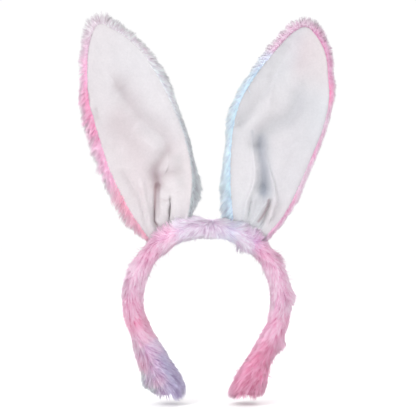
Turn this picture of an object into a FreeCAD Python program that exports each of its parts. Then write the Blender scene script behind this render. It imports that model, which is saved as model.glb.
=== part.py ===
"""Plush rabbit-ear headband, worn upright.

A C-shaped spring band runs inside a plush sleeve.  Two tall ears stand on its
crown.  Each ear is a smooth velour front panel set inside the rolled rim of a
plush back panel, with a bendable wire loop between them.  The feet of each wire
loop pass down through the sleeve and are bound to the band.

Millimetres, +Z up, +X to the wearer's left seen from the front, front towards -Y.
The origin is where the underside of the crown sits on the head.
"""
import FreeCAD, Part
import math
import os
from FreeCAD import Vector as V

os.makedirs("parts", exist_ok=True)

# ------------------------------------------------------------------ band line
R_BAND = 67.0            # radius of the band's centre line over the head
SLEEVE_R = 7.0           # half thickness of the sleeve in the band's plane
SLEEVE_Y = 10.0          # half width of the sleeve, front to back
ZC = -(R_BAND - SLEEVE_R)  # height of the arc's centre
ARC_END = 120.0          # the arc ends this many degrees from the top, each side
R_TAIL = 300.0           # the tails curve outwards again on this radius
TAIL = 50.0              # length of each tail's closed bag
FLEX_AT = 54.0           # the arm flex axis, degrees from the top
FLEX_OUT = 20.0          # arms spread outwards
FLEX_IN = 5.0            # and inwards
# half thickness and half width of the sleeve along the tail
TAIL_SECTIONS = [(0.0, 7.0, 10.0), (11.0, 7.7, 10.3), (21.0, 9.0, 11.0),
                 (31.0, 11.2, 11.8), (39.0, 12.5, 12.2), (44.0, 12.0, 11.9),
                 (47.5, 9.8, 10.2), (TAIL, 5.2, 6.0)]
NECK_R, NECK_END = 2.9, 52.6
BEAD_R, BEAD_AT = 4.0, 54.2

# ------------------------------------------------------------------ inside the sleeve
CORE_T, CORE_W = 2.0, 12.0           # spring strip
CAVITY = (-3.3, 4.4, 7.6)            # radial from, radial to, half width
CORE_TAIL = 42.0
WIRE_D = 1.6
FOOT_LIFT = CORE_T / 2 + 0.2 + WIRE_D / 2
WRAP_WALL = 0.5
THREAD_D = 0.7

# ------------------------------------------------------------------ ears
CUP_R = 120.0            # radius of the cupped front panel
FRONT_T = 1.2            # velour front panel
BACK_T = 3.5             # plush back panel with its pile pressed flat
RIM_W = 3.0              # rolled rim outside the front panel
RIM_PROUD = 0.6
WIRE_INSET = 3.6         # wire inside the front panel's edge
ROOT_R = 75.6            # tilt axis, distance from the arc's centre
TILT = 50.0
FOLD_FRONT, FOLD_BACK = 60.0, 40.0
FOLD_Y = -3.0
Y_EAR = 0.0

# station along the ear, then the front panel's two edges across it
LEFT = dict(
    side="left", origin=(-34.2, 5.2), lean=-18.6, root=27.7, fold=98.0, u0=3.0, tip=195.0,
    dart=(2.0, 19.0, 38.0),
    rows=[(-4, -20.0, 17.0), (6, -22.8, 21.0), (14, -25.2, 25.2), (24, -27.6, 30.4),
          (36, -30.0, 34.8), (50, -32.2, 38.2), (66, -33.8, 40.0), (82, -33.8, 40.5),
          (98, -33.4, 39.6), (114, -32.9, 37.8), (130, -31.8, 35.4), (144, -28.9, 32.6),
          (156, -25.2, 29.1), (167, -21.4, 24.2), (177, -16.9, 17.8), (185, -12.2, 11.4),
          (191, -7.2, 6.2)])
RIGHT = dict(
    side="right", origin=(39.6, 4.3), lean=15.5, root=-31.6, fold=96.0, u0=-2.0, tip=190.5,
    dart=(-1.5, 9.0, 33.0),
    rows=[(-4, -16.0, 15.0), (6, -19.2, 19.4), (14, -22.4, 23.2), (24, -26.4, 26.6),
          (36, -30.4, 29.4), (50, -34.2, 31.8), (66, -37.8, 34.0), (82, -40.6, 36.0),
          (98, -41.7, 38.0), (112, -40.4, 38.5), (126, -36.8, 37.6), (140, -32.2, 34.6),
          (152, -27.2, 30.2), (163, -22.2, 26.6), (173, -17.2, 21.4), (181, -12.4, 14.8),
          (187, -7.4, 7.6)])

SOLIDS = {}


def put(name, shape):
    solids = [s for s in shape.Solids if s.Volume > 0.02]
    shape = solids[0] if len(solids) == 1 else Part.makeCompound(solids)
    SOLIDS[name] = shape


def polar(deg_from_top, r):
    """A point in the band's plane, measured from the top, positive towards +X."""
    a = math.radians(deg_from_top)
    return V(r * math.sin(a), 0, ZC + r * math.cos(a))


def band_frame(s):
    """Centre, direction of travel and outward normal on the right tail, s mm past the arc."""
    a = math.radians(ARC_END)
    start = polar(ARC_END, R_BAND)
    tangent = V(math.cos(a), 0, -math.sin(a))
    outward = V(math.sin(a), 0, math.cos(a))
    centre = start + outward * R_TAIL
    t = s / R_TAIL
    point = centre - (outward * math.cos(t)) * R_TAIL + tangent * (math.sin(t) * R_TAIL)
    direction = tangent * math.cos(t) + outward * math.sin(t)
    normal = outward * math.cos(t) - tangent * math.sin(t)
    return point, direction, normal


def mirror(shape):
    return shape.mirror(V(0, 0, 0), V(1, 0, 0))


def arc_solid(face_of, start, end):
    """Turn a face standing in the YZ plane above the arc's centre, from start to end degrees."""
    face = face_of.copy()
    face.rotate(V(0, 0, ZC), V(0, 1, 0), start)
    return face.revolve(V(0, 0, ZC), V(0, 1, 0), end - start)


def tail_solid(face_of, s_end):
    """Carry the same face along the right tail's arc."""
    face = face_of.copy()
    face.rotate(V(0, 0, ZC), V(0, 1, 0), ARC_END)
    a = math.radians(ARC_END)
    outward = V(math.sin(a), 0, math.cos(a))
    centre = polar(ARC_END, R_BAND) + outward * R_TAIL
    return face.revolve(centre, V(0, 1, 0), -math.degrees(s_end / R_TAIL))


def ellipse_face(radial, a, b):
    e = Part.Ellipse(V(0, 0, 0), max(a, b), min(a, b))
    w = Part.Wire([e.toShape()])
    # the ellipse's long axis starts on X
    w.rotate(V(0, 0, 0), V(0, 0, 1), 90 if b >= a else 0)
    # now X is the radial direction, Y stays Y; stand it up so that X becomes Z
    w.rotate(V(0, 0, 0), V(0, 1, 0), -90)
    w.translate(V(0, 0, ZC + R_BAND + radial))
    return Part.Face(w)


def rect_face(r0, r1, y0, y1):
    pts = [V(0, y0, ZC + R_BAND + r0), V(0, y1, ZC + R_BAND + r0),
           V(0, y1, ZC + R_BAND + r1), V(0, y0, ZC + R_BAND + r1)]
    return Part.Face(Part.makePolygon(pts + pts[:1]))


def circle_face(radial, y, r):
    c = Part.Circle(V(0, y, ZC + R_BAND + radial), V(1, 0, 0), r)
    return Part.Face(Part.Wire([c.toShape()]))


def tube(points, r):
    """Round wire or thread along points: straight runs mitred at each bend."""
    kept = [points[0]]
    for q in points[1:-1]:
        if (q - kept[-1]).Length > 4 * r and (q - points[-1]).Length > 4 * r:
            kept.append(q)
    points = kept + [points[-1]]
    kept = [points[0]]
    for q, after in zip(points[1:], points[2:]):
        if (q - kept[-1]).getAngle(after - q) > math.radians(0.6):
            kept.append(q)
    points = kept + [points[-1]]
    path = Part.makePolygon(points)
    ring = Part.Wire([Part.Circle(points[0], points[1] - points[0], r).toShape()])
    return path.makePipeShell([ring], True, False, 1)


# ================================================================== band and sleeve
def section_wire(s, a, b):
    """The sleeve's oval outline s mm past the arc, drawn from the outer side round."""
    p, d, n = band_frame(s)
    pts = []
    for k in range(20):
        w = 2 * math.pi * k / 20
        pts.append(p + n * (a * math.cos(w)) + V(0, b * math.sin(w), 0))
    curve = Part.BSplineCurve()
    curve.interpolate(pts, PeriodicFlag=True)
    return Part.Wire([curve.toShape()])


def fine_rows():
    """The tail's sections with eased steps between the stated ones."""
    rows = [TAIL_SECTIONS[0]]
    for (s0, a0, b0), (s1, a1, b1) in zip(TAIL_SECTIONS, TAIL_SECTIONS[1:]):
        for k in (1, 2):
            f = k / 2
            g = f * f * (3 - 2 * f) if s0 == 0.0 else f
            rows.append((s0 + (s1 - s0) * f, a0 + (a1 - a0) * g, b0 + (b1 - b0) * g))
    return rows


def arm_body():
    """The right arm's outer shape: the arc from just before the flex line, then the tail's bag."""
    wires = []
    for k in range(13):
        deg = FLEX_AT - 8 + (ARC_END - FLEX_AT + 8) * k / 13
        w = section_wire(0.0, SLEEVE_R, SLEEVE_Y)
        w.rotate(V(0, 0, ZC), V(0, 1, 0), deg - ARC_END)
        wires.append(w)
    wires += [section_wire(*row) for row in fine_rows()]
    bag = Part.makeLoft(wires, True, True)
    p, d, n = band_frame(TAIL - 1.5)
    q, d2, n2 = band_frame(NECK_END)
    neck = Part.makeCylinder(NECK_R, (q - p).Length + 0.6, p, d)
    b, _, _ = band_frame(BEAD_AT)
    bead = Part.makeSphere(BEAD_R, b)
    cut = Part.makeCylinder(12, 12, b + d2 * (BEAD_R * 0.72), d2)
    return bag.fuse(neck).fuse(bead).cut(cut)


def flex_cutter(side):
    """Wedge between crown and arm: wide outside so that the arm can spread, narrow inside."""
    o, i, g, h = math.radians(FLEX_OUT / 2 + 0.4), math.radians(FLEX_IN / 2 + 0.4), 0.3, 16.0
    out, tan = V(0, 0, 1), V(1, 0, 0)
    pts = [tan * g, tan * (g + h * math.tan(o)) + out * h, tan * -(g + h * math.tan(o)) + out * h,
           tan * -g, tan * -(g + h * math.tan(i)) - out * h, tan * (g + h * math.tan(i)) - out * h]
    pts = [q + V(0, -20, 0) for q in pts]
    prism = Part.Face(Part.makePolygon(pts + pts[:1])).extrude(V(0, 40, 0))
    prism.rotate(V(0, 0, 0), V(0, 1, 0), side * FLEX_AT)
    prism.translate(polar(side * FLEX_AT, R_BAND))
    return prism


CUT_L, CUT_R = flex_cutter(-1), flex_cutter(1)


def largest(shape):
    return max(shape.Solids, key=lambda s: s.Volume)


def crown_and_arms(name, arc_of, tail):
    """Crown between the two flex lines, and an arm on each side as mirror images."""
    crown = largest(arc_of(-FLEX_AT - 8, FLEX_AT + 8).cut(CUT_L).cut(CUT_R))
    arm = arc_of(FLEX_AT - 8, ARC_END).fuse(tail).cut(CUT_R)
    arm = largest(arm)
    put(name + "_crown", crown)
    put(name + "_right_arm", arm)
    put(name + "_left_arm", mirror(arm))
    return crown


core_face = rect_face(-CORE_T / 2, CORE_T / 2, -CORE_W / 2, CORE_W / 2)
core_tail = tail_solid(core_face, CORE_TAIL - CORE_W / 2)
p, d, n = band_frame(CORE_TAIL - CORE_W / 2)
core_tail = core_tail.fuse(Part.makeCylinder(CORE_W / 2, CORE_T, p - n * (CORE_T / 2), n))
crown_and_arms("band_core", lambda a, b: arc_solid(core_face, a, b), core_tail)


def inner_edge(s, proud):
    """A point just off the head side of the sleeve on the right tail."""
    rows = TAIL_SECTIONS
    for (s0, a0, _), (s1, a1, _) in zip(rows, rows[1:]):
        if s <= s1:
            a = a0 + (a1 - a0) * (s - s0) / (s1 - s0)
            break
    p, d, n = band_frame(s)
    return p - n * (a + proud)


SEAM_PROUD = THREAD_D / 2 + 0.15
seam_face = circle_face(-SLEEVE_R - SEAM_PROUD, 0, THREAD_D / 2)
seam_pts = [polar(FLEX_AT + 0.5 + 4.1 * k, R_BAND - SLEEVE_R - SEAM_PROUD) for k in range(16)]
seam_pts += [inner_edge(s, SEAM_PROUD) for s in (1.5, 6.0, 11.0, 16.0, 21.0, 26.0, 31.0, 35.0, 39.0)]
seam_arm = tube(seam_pts, THREAD_D / 2)
put("sleeve_seam_crown", arc_solid(seam_face, -FLEX_AT + 0.5, FLEX_AT - 0.5))
put("sleeve_seam_right_arm", seam_arm)
put("sleeve_seam_left_arm", mirror(seam_arm))

oval = ellipse_face(0, SLEEVE_R, SLEEVE_Y)
cavity_face = rect_face(CAVITY[0], CAVITY[1], -CAVITY[2], CAVITY[2])


passage = arc_solid(cavity_face, FLEX_AT - 10, ARC_END).fuse(tail_solid(cavity_face, CORE_TAIL + 1.5))
arm = largest(arm_body().cut(passage.removeSplitter()).cut(CUT_R))
put("sleeve_right_arm", arm)
put("sleeve_left_arm", mirror(arm))
sleeve = arc_solid(oval, -FLEX_AT - 8, FLEX_AT + 8).cut(arc_solid(cavity_face, -FLEX_AT - 10, FLEX_AT + 10))
sleeve = largest(sleeve.cut(CUT_L).cut(CUT_R))

# wire holes through the outer wall of the sleeve, and the wire feet on the band
STUB = 10.5
for ear in (LEFT, RIGHT):
    a0 = -ear["root"]
    ear["a0"] = a0
    feet = None
    for k, y in ((-1, 2.6), (1, -2.6)):
        at = a0 + k * STUB
        hole = Part.makeCylinder(1.15, 12, polar(at, R_BAND + 1.0), polar(at, 1) - polar(at, 0))
        hole.translate(V(0, y, 0))
        sleeve = sleeve.cut(hole)
        post = Part.makeCylinder(WIRE_D / 2, 74.5 - (R_BAND + FOOT_LIFT), polar(at, R_BAND + FOOT_LIFT),
                                 polar(at, 1) - polar(at, 0))
        post.translate(V(0, y, 0))
        ball = Part.makeSphere(WIRE_D / 2, polar(at, R_BAND + FOOT_LIFT) + V(0, y, 0))
        lie = arc_solid(circle_face(FOOT_LIFT, y, WIRE_D / 2), *sorted((at, a0 - k * 2.0)))
        foot = post.fuse(ball).fuse(lie)
        feet = foot if feet is None else Part.makeCompound([feet, foot])
    put(ear["side"] + "_ear_wire_feet", feet)
    top = FOOT_LIFT + WIRE_D / 2 + 0.15
    low = -CORE_T / 2 - 0.15
    ring = rect_face(low - WRAP_WALL, top + WRAP_WALL, -CORE_W / 2 - 0.15 - WRAP_WALL,
                     CORE_W / 2 + 0.15 + WRAP_WALL)
    hole = rect_face(low, top, -CORE_W / 2 - 0.15, CORE_W / 2 + 0.15)
    wrap = arc_solid(ring, a0 - 5.5, a0 + 5.5).cut(arc_solid(hole, a0 - 6, a0 + 6))
    put(ear["side"] + "_ear_foot_wrap", wrap)
    bars = []
    for k in (-13.2, -8.0, -5.4, -2.7, 0.0, 2.7, 5.4, 8.0, 13.2):
        at = a0 + k
        c = polar(at, R_BAND + SLEEVE_R + 0.05 + THREAD_D / 2)
        bars.append(Part.makeCylinder(THREAD_D / 2, 4.4, c - V(0, 2.2, 0), V(0, 1, 0)))
    put(ear["side"] + "_ear_root_stitches", Part.makeCompound(bars))


put("sleeve_crown", sleeve)

for side, flip in (("right", False), ("left", True)):
    p, d, n = band_frame(51.4)
    ring = Part.makeTorus(NECK_R + 0.3 + 0.45, 0.45, p, d)
    put(side + "_end_gather_thread", mirror(ring) if flip else ring)


# ================================================================== ears
def build_ear(ear):
    side = ear["side"]
    lean = math.radians(ear["lean"])
    e = V(math.sin(lean), 0, math.cos(lean))
    u = V(math.cos(lean), 0, -math.sin(lean))
    o = V(ear["origin"][0], 0, ear["origin"][1])
    u0 = ear["u0"]
    axis_y = Y_EAR - (CUP_R + FRONT_T / 2 + 2.45)

    def at(uu, ss, y=0.0):
        return o + u * uu + e * ss + V(0, y, 0)

    def cup_y(uu, r):
        return axis_y + math.sqrt(r * r - (uu - u0) ** 2)

    line = [(l, s) for s, l, r in ear["rows"]] + [(0.0, ear["tip"])] + \
           [(r, s) for s, l, r in reversed(ear["rows"])]

    def offset(dist):
        out = []
        for i, (x, y) in enumerate(line):
            x0, y0 = line[max(i - 1, 0)]
            x1, y1 = line[min(i + 1, len(line) - 1)]
            tx, ty = x1 - x0, y1 - y0
            k = math.hypot(tx, ty)
            out.append((x - ty / k * dist, y + tx / k * dist))
        return out

    def prism(dist):
        pts = offset(dist)
        curve = Part.BSplineCurve()
        curve.interpolate([at(x, y, -20) for x, y in pts])
        base = Part.LineSegment(at(*pts[-1], -20), at(*pts[0], -20)).toShape()
        return Part.Face(Part.Wire([curve.toShape(), base])).extrude(V(0, 34, 0))

    def ring_prism(wide, narrow):
        edges, ends = [], []
        for dist in (wide, narrow):
            pts = offset(dist)
            curve = Part.BSplineCurve()
            curve.interpolate([at(x, y, -20) for x, y in pts])
            edges.append(curve.toShape())
            ends.append((at(*pts[0], -20), at(*pts[-1], -20)))
        edges.append(Part.LineSegment(ends[0][0], ends[1][0]).toShape())
        edges.append(Part.LineSegment(ends[0][1], ends[1][1]).toShape())
        return Part.Face(Part.Wire(Part.__sortEdges__(edges))).extrude(V(0, 34, 0))

    def drum(r):
        return Part.makeCylinder(r, 290, o + u * u0 - e * 40 + V(0, axis_y, 0), e)

    def shell(r0, r1):
        return drum(r1).cut(drum(r0))

    # root: the ear is pinched to a blunt edge along the tilt axis
    a0 = math.radians(ear["a0"])
    nrm = V(math.sin(a0), 0, math.cos(a0))
    tng = V(math.cos(a0), 0, -math.sin(a0))
    root = V(0, 0, ZC) + nrm * ROOT_R
    profile = [(0.3, 0.5), (8.0, 4.3), (13.0, 20.0), (290.0, 20.0)]
    pts = [root + nrm * h + V(0, w, 0) for h, w in profile] + \
          [root + nrm * h + V(0, -w, 0) for h, w in reversed(profile)]
    pts = [q - tng * 110 for q in pts]
    pinch = Part.Face(Part.makePolygon(pts + pts[:1])).extrude(tng * 220)

    # fold: a notch across the ear, open wider at the front
    f, b, g = math.radians(FOLD_FRONT / 2 + 0.4), math.radians(FOLD_BACK / 2 + 0.4), 0.35
    sf = ear["fold"]

    def half(sign):
        q = [(sf + sign * g, FOLD_Y), (sf + sign * (g + 17 * math.tan(f)), FOLD_Y - 17),
             (sf + sign * 300, FOLD_Y - 17), (sf + sign * 300, FOLD_Y + 17),
             (sf + sign * (g + 17 * math.tan(b)), FOLD_Y + 17)]
        poly = [at(-90, s, y) for s, y in q]
        return Part.Face(Part.makePolygon(poly + poly[:1])).extrude(u * 180)

    lower, upper = half(-1), half(1)

    front = prism(-0.25).common(shell(CUP_R, CUP_R + FRONT_T))
    outer = prism(RIM_W)
    back = outer.common(shell(CUP_R + FRONT_T + 2.0, CUP_R + FRONT_T + 2.0 + BACK_T))
    rim = ring_prism(RIM_W, 0.95).common(shell(CUP_R - RIM_PROUD, CUP_R + FRONT_T + 2.0 + BACK_T))
    back = back.fuse(rim)
    stitch = ring_prism(0.72, 0.02).common(shell(CUP_R - 0.35, CUP_R + 0.35))

    for name, shape in (("front", front), ("back", back), ("edge_seam", stitch)):
        shape = shape.common(pinch)
        put("%s_ear_%s_lower" % (side, name), shape.common(lower))
        put("%s_ear_%s_tip" % (side, name), shape.common(upper))

    # wire loop between the panels
    r_w = CUP_R + FRONT_T + 0.2 + WIRE_D / 2
    inset = offset(-WIRE_INSET)
    path = [(x, y) for x, y in inset]
    gap = g + 0.5 + 6.0 * math.tan(f)

    def cross(y_goal, a, b):
        t = (y_goal - a[1]) / (b[1] - a[1])
        return (a[0] + (b[0] - a[0]) * t, y_goal)

    def leg(points):
        """From the root up to just under the fold."""
        out = []
        for a, b in zip(points, points[1:]):
            if b[1] <= 11.0:
                continue
            if a[1] < 11.0:
                a = cross(11.0, a, b)
            if a[1] >= sf - gap:
                break
            out.append(a)
            if b[1] >= sf - gap:
                out.append(cross(sf - gap, a, b))
                break
        return out

    half_n = len(ear["rows"])
    left_leg = leg(path[:half_n])
    right_leg = leg(list(reversed(path[half_n + 1:])))
    legs = [tube([at(x, s, cup_y(x, r_w)) for x, s in q], WIRE_D / 2) for q in (left_leg, right_leg)]
    put(side + "_ear_wire_lower", Part.makeCompound(legs))
    loop = []
    for a, b in zip(path, path[1:]):
        if a[1] < sf + gap <= b[1]:
            loop.append(cross(sf + gap, a, b))
        elif a[1] >= sf + gap:
            loop.append(a)
            if b[1] < sf + gap:
                loop.append(cross(sf + gap, a, b))
                break
    put(side + "_ear_wire_tip", tube([at(x, s, cup_y(x, r_w)) for x, s in loop], WIRE_D / 2))

    # sewn dart that gathers the foot of the front panel
    du, s0, s1 = ear["dart"]
    steps = int((s1 - s0) / 3.0)
    bars = []
    for k in range(steps):
        s = s0 + 3.0 * k
        bars.append(Part.makeCylinder(THREAD_D / 2, 2.0, at(du, s, cup_y(du, CUP_R) - 0.05 - THREAD_D / 2), e))
    put(side + "_ear_dart_stitches", Part.makeCompound(bars))


build_ear(LEFT)
build_ear(RIGHT)

# ================================================================== write
for name in sorted(SOLIDS):
    shape = SOLIDS[name]
    box = shape.optimalBoundingBox(False) if shape.Solids else shape.BoundBox
    print("%-28s solids %2d valid %s volume %9.1f  x %7.1f %7.1f  y %6.1f %6.1f  z %7.1f %7.1f" % (
        name, len(shape.Solids), shape.isValid(), shape.Volume, box.XMin, box.XMax, box.YMin, box.YMax,
        box.ZMin, box.ZMax))
    shape.exportStep("parts/%s.step" % name)
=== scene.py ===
"""Plush rabbit-ear headband: fur, velour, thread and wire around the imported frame.  Metres, +Z up, front -Y."""

import bpy
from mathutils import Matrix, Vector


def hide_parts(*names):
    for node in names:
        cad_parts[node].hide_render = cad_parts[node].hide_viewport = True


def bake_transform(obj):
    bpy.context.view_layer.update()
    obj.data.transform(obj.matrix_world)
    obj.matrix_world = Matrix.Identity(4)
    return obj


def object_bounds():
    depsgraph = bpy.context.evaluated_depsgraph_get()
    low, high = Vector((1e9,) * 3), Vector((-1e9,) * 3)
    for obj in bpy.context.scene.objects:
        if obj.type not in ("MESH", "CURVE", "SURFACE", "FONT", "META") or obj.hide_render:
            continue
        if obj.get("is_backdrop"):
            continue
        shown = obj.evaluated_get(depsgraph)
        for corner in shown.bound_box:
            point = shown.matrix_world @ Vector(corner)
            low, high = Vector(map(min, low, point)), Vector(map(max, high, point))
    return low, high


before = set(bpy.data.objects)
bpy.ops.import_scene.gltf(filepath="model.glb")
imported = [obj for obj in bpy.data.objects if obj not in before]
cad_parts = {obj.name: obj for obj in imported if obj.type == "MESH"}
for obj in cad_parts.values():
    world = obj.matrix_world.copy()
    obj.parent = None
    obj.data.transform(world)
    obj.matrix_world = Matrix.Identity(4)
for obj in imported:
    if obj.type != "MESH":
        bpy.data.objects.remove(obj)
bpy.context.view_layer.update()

import bpy
import math
import numpy as np
from mathutils import Vector

MM = 0.001
scene = bpy.context.scene

# ------------------------------------------------------------------ the object's own lines, in millimetres
R_BAND, SLEEVE_R, SLEEVE_Y = 67.0, 7.0, 10.0
ZC = -(R_BAND - SLEEVE_R)
ARC_END = 120.0
R_TAIL, TAIL = 300.0, 50.0
ARC_LEN = math.radians(ARC_END) * R_BAND
ROOT_R = 75.6
CUP_R = 120.0

LEFT = dict(
    side="left", sign=-1, origin=(-34.2, 5.2), lean=-18.6, root=-27.7, fold=98.0, u0=3.0, tip=195.0,
    rows=[(-4, -20.0, 17.0), (6, -22.8, 21.0), (14, -25.2, 25.2), (24, -27.6, 30.4),
          (36, -30.0, 34.8), (50, -32.2, 38.2), (66, -33.8, 40.0), (82, -33.8, 40.5),
          (98, -33.4, 39.6), (114, -32.9, 37.8), (130, -31.8, 35.4), (144, -28.9, 32.6),
          (156, -25.2, 29.1), (167, -21.4, 24.2), (177, -16.9, 17.8), (185, -12.2, 11.4),
          (191, -7.2, 6.2)])
RIGHT = dict(
    side="right", sign=1, origin=(39.6, 4.3), lean=15.5, root=31.6, fold=96.0, u0=-2.0, tip=190.5,
    rows=[(-4, -16.0, 15.0), (6, -19.2, 19.4), (14, -22.4, 23.2), (24, -26.4, 26.6),
          (36, -30.4, 29.4), (50, -34.2, 31.8), (66, -37.8, 34.0), (82, -40.6, 36.0),
          (98, -41.7, 38.0), (112, -40.4, 38.5), (126, -36.8, 37.6), (140, -32.2, 34.6),
          (152, -27.2, 30.2), (163, -22.2, 26.6), (173, -17.2, 21.4), (181, -12.4, 14.8),
          (187, -7.4, 7.6)])

# ------------------------------------------------------------------ noise
class Noise:
    """Smooth value noise in three dimensions, seeded."""
    def __init__(self, seed):
        self.t = np.random.default_rng(seed).uniform(-1, 1, (32, 32, 32)).astype(np.float32)

    def __call__(self, p, size):
        q = np.asarray(p, float) / size
        i = np.floor(q).astype(int)
        f = q - i
        f = f * f * (3 - 2 * f)
        out = np.zeros(len(q))
        for dx in (0, 1):
            wx = f[:, 0] if dx else 1 - f[:, 0]
            for dy in (0, 1):
                wy = f[:, 1] if dy else 1 - f[:, 1]
                for dz in (0, 1):
                    wz = f[:, 2] if dz else 1 - f[:, 2]
                    out += wx * wy * wz * self.t[(i[:, 0] + dx) % 32, (i[:, 1] + dy) % 32, (i[:, 2] + dz) % 32]
        return out


N1, N2, N3, N4 = Noise(11), Noise(12), Noise(13), Noise(14)


def fractal(n, p, size, octaves=3):
    return sum(n(np.asarray(p) + 17.3 * k, size / 2 ** k) / 2 ** k for k in range(octaves))


def smooth(x):
    x = np.clip(x, 0, 1)
    return x * x * (3 - 2 * x)


def unit(v):
    return v / np.maximum(np.linalg.norm(v, axis=-1, keepdims=True), 1e-12)


# ------------------------------------------------------------------ dye
HOT = (0.995, 0.280, 0.560)
PINK = (0.990, 0.430, 0.690)
PALE_PINK = (0.985, 0.600, 0.810)
LILAC = (0.850, 0.620, 0.880)
PALE_LILAC = (0.870, 0.785, 0.925)
PERI = (0.445, 0.385, 0.700)
BLUE = (0.680, 0.930, 0.990)
PALE_BLUE = (0.790, 0.890, 0.985)
TEAL = (0.500, 0.600, 0.600)
PALE_TEAL = (0.790, 0.890, 0.885)
MAGENTA = (0.940, 0.200, 0.450)
WHITE = (0.860, 0.880, 0.870)
PALE_GREY = (0.860, 0.910, 0.900)
SMOKE = (0.740, 0.715, 0.740)
MINT = (0.550, 0.790, 0.750)
SALMON = (0.995, 0.550, 0.690)
MAUVE = (0.880, 0.510, 0.720)
DUSTY = (0.830, 0.660, 0.770)
SKY = (0.700, 0.780, 0.960)

# where the dye was poured: x, z in millimetres, colour, reach
BAND_DYE = [
    (-56, -9, (0.900, 0.390, 0.640), 13), (-47, -2, (0.870, 0.540, 0.740), 10), (-36, 2, PALE_PINK, 9), (-24, 9, PALE_LILAC, 10),
    (-14, 8, PALE_LILAC, 8), (-2, 7, PALE_LILAC, 12), (11, 6, PALE_LILAC, 9), (17, 3, SKY, 10), (26, -1, PALE_LILAC, 8),
    (35, -4, PALE_LILAC, 7), (45, -6, LILAC, 6), (50, -9, (0.870, 0.400, 0.650), 8), (57, -16, (0.860, 0.370, 0.610), 10), (58, -30, PALE_PINK, 12),
    (65, -42, PALE_PINK, 12), (70, -60, PALE_PINK, 12), (68, -76, PINK, 12), (60, -90, PINK, 13), (52, -102, (0.950, 0.215, 0.500), 12),
    (44, -117, (0.970, 0.240, 0.530), 13), (38, -132, (0.930, 0.210, 0.490), 12), (32, -145, (0.830, 0.140, 0.410), 11),
    (-67, -30, PALE_PINK, 12), (-70, -48, PALE_PINK, 12), (-68, -62, PINK, 12), (-66, -76, HOT, 9), (-62, -90, PALE_PINK, 9), (-56, -84, PINK, 8),
    (-52, -98, (0.820, 0.600, 0.870), 8), (-53, -110, PINK, 9), (-45, -108, PERI, 8), (-38, -122, PERI, 11), (-48, -122, (0.770, 0.520, 0.810), 8),
    (-49, -130, (0.900, 0.480, 0.730), 6), (-60, -120, MINT, 7), (-58, -130, MINT, 9), (-32, -140, PERI, 9), (-44, -142, (0.710, 0.490, 0.780), 8), (-52, -140, MINT, 8), (-45, -147, MINT, 6),
    # the first two entries on this line are no dye: they darken the bottom edge of the left end
    (-47, -151, (0.300, 0.350, 0.370), 4), (-36, -152, (0.340, 0.360, 0.450), 4), (27, -148, (0.860, 0.130, 0.350), 4)]
LEFT_DYE = [
    (-96, 196, SMOKE, 12), (-107, 186, SMOKE, 10), (-112, 168, DUSTY, 12), (-114, 145, PALE_PINK, 16), (-112, 118, PINK, 16),
    (-106, 96, (0.990, 0.500, 0.730), 14), (-100, 76, PALE_PINK, 14), (-92, 54, PALE_PINK, 14), (-84, 36, SALMON, 14), (-76, 22, SALMON, 10), (-66, 10, SALMON, 12), (-58, 0, SALMON, 10),
    (-78, 190, PALE_GREY, 18), (-56, 170, PALE_GREY, 20), (-40, 145, PALE_TEAL, 18), (-30, 120, PALE_TEAL, 18), (-24, 102, TEAL, 16), (-16, 78, TEAL, 18),
    (-9, 48, TEAL, 16), (-14, 22, TEAL, 12), (-70, 120, PALE_LILAC, 24), (-60, 70, PALE_PINK, 22), (-45, 25, PALE_LILAC, 16)]
RIGHT_DYE = [
    (93, 192, DUSTY, 12), (76, 186, DUSTY, 12), (64, 174, DUSTY, 10), (52, 158, PALE_BLUE, 12), (44, 146, BLUE, 14), (33, 128, BLUE, 18),
    (22, 104, BLUE, 16), (17, 76, BLUE, 18), (14, 48, BLUE, 18), (16, 24, BLUE, 12), (20, 10, PALE_BLUE, 8),
    (108, 175, MAUVE, 14), (113, 150, MAUVE, 16), (113, 128, PINK, 14), (110, 100, DUSTY, 16), (102, 75, MAUVE, 16),
    (92, 50, DUSTY, 16), (80, 26, MAUVE, 14), (66, 6, MAUVE, 12), (70, 120, PALE_LILAC, 26), (58, 66, PALE_BLUE, 22), (48, 20, PALE_LILAC, 16)]


def dye(points, table):
    """Blended colour of the poured dyes at points in millimetres; the back differs from the front."""
    p = np.asarray(points, float)
    back = smooth((p[:, 1] + 2.0) / 14.0)
    x = p[:, 0] + 4.0 * fractal(N1, p, 14.0) + back * 11.0 * N2(p, 40.0)
    z = p[:, 2] + 4.0 * fractal(N2, p, 14.0) + back * (14.0 + 8.0 * N3(p, 36.0))
    acc, total = np.zeros((len(p), 3)), np.zeros(len(p))
    wide = 0.75 + 0.75 * back ** 2
    for ax, az, colour, reach in table:
        w = np.exp(-((x - ax) ** 2 + (z - az) ** 2) / (reach * wide) ** 2) + 1e-6 / (1 + (x - ax) ** 2 + (z - az) ** 2)
        acc += w[:, None] * np.array(colour)
        total += w
    return acc / total[:, None]


# ------------------------------------------------------------------ materials
def nodes_of(mat):
    mat.use_nodes = True
    nt = mat.node_tree
    nt.nodes.clear()
    out = nt.nodes.new("ShaderNodeOutputMaterial")
    bsdf = nt.nodes.new("ShaderNodeBsdfPrincipled")
    nt.links.new(bsdf.outputs[0], out.inputs[0])
    return nt, bsdf


def attr(nt, name):
    n = nt.nodes.new("ShaderNodeAttribute")
    n.attribute_name = name
    return n


def noise_node(nt, vector, scale, detail=3.0, rough=0.5):
    n = nt.nodes.new("ShaderNodeTexNoise")
    n.inputs["Scale"].default_value = scale
    n.inputs["Detail"].default_value = detail
    n.inputs["Roughness"].default_value = rough
    nt.links.new(vector, n.inputs["Vector"])
    return n


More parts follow.
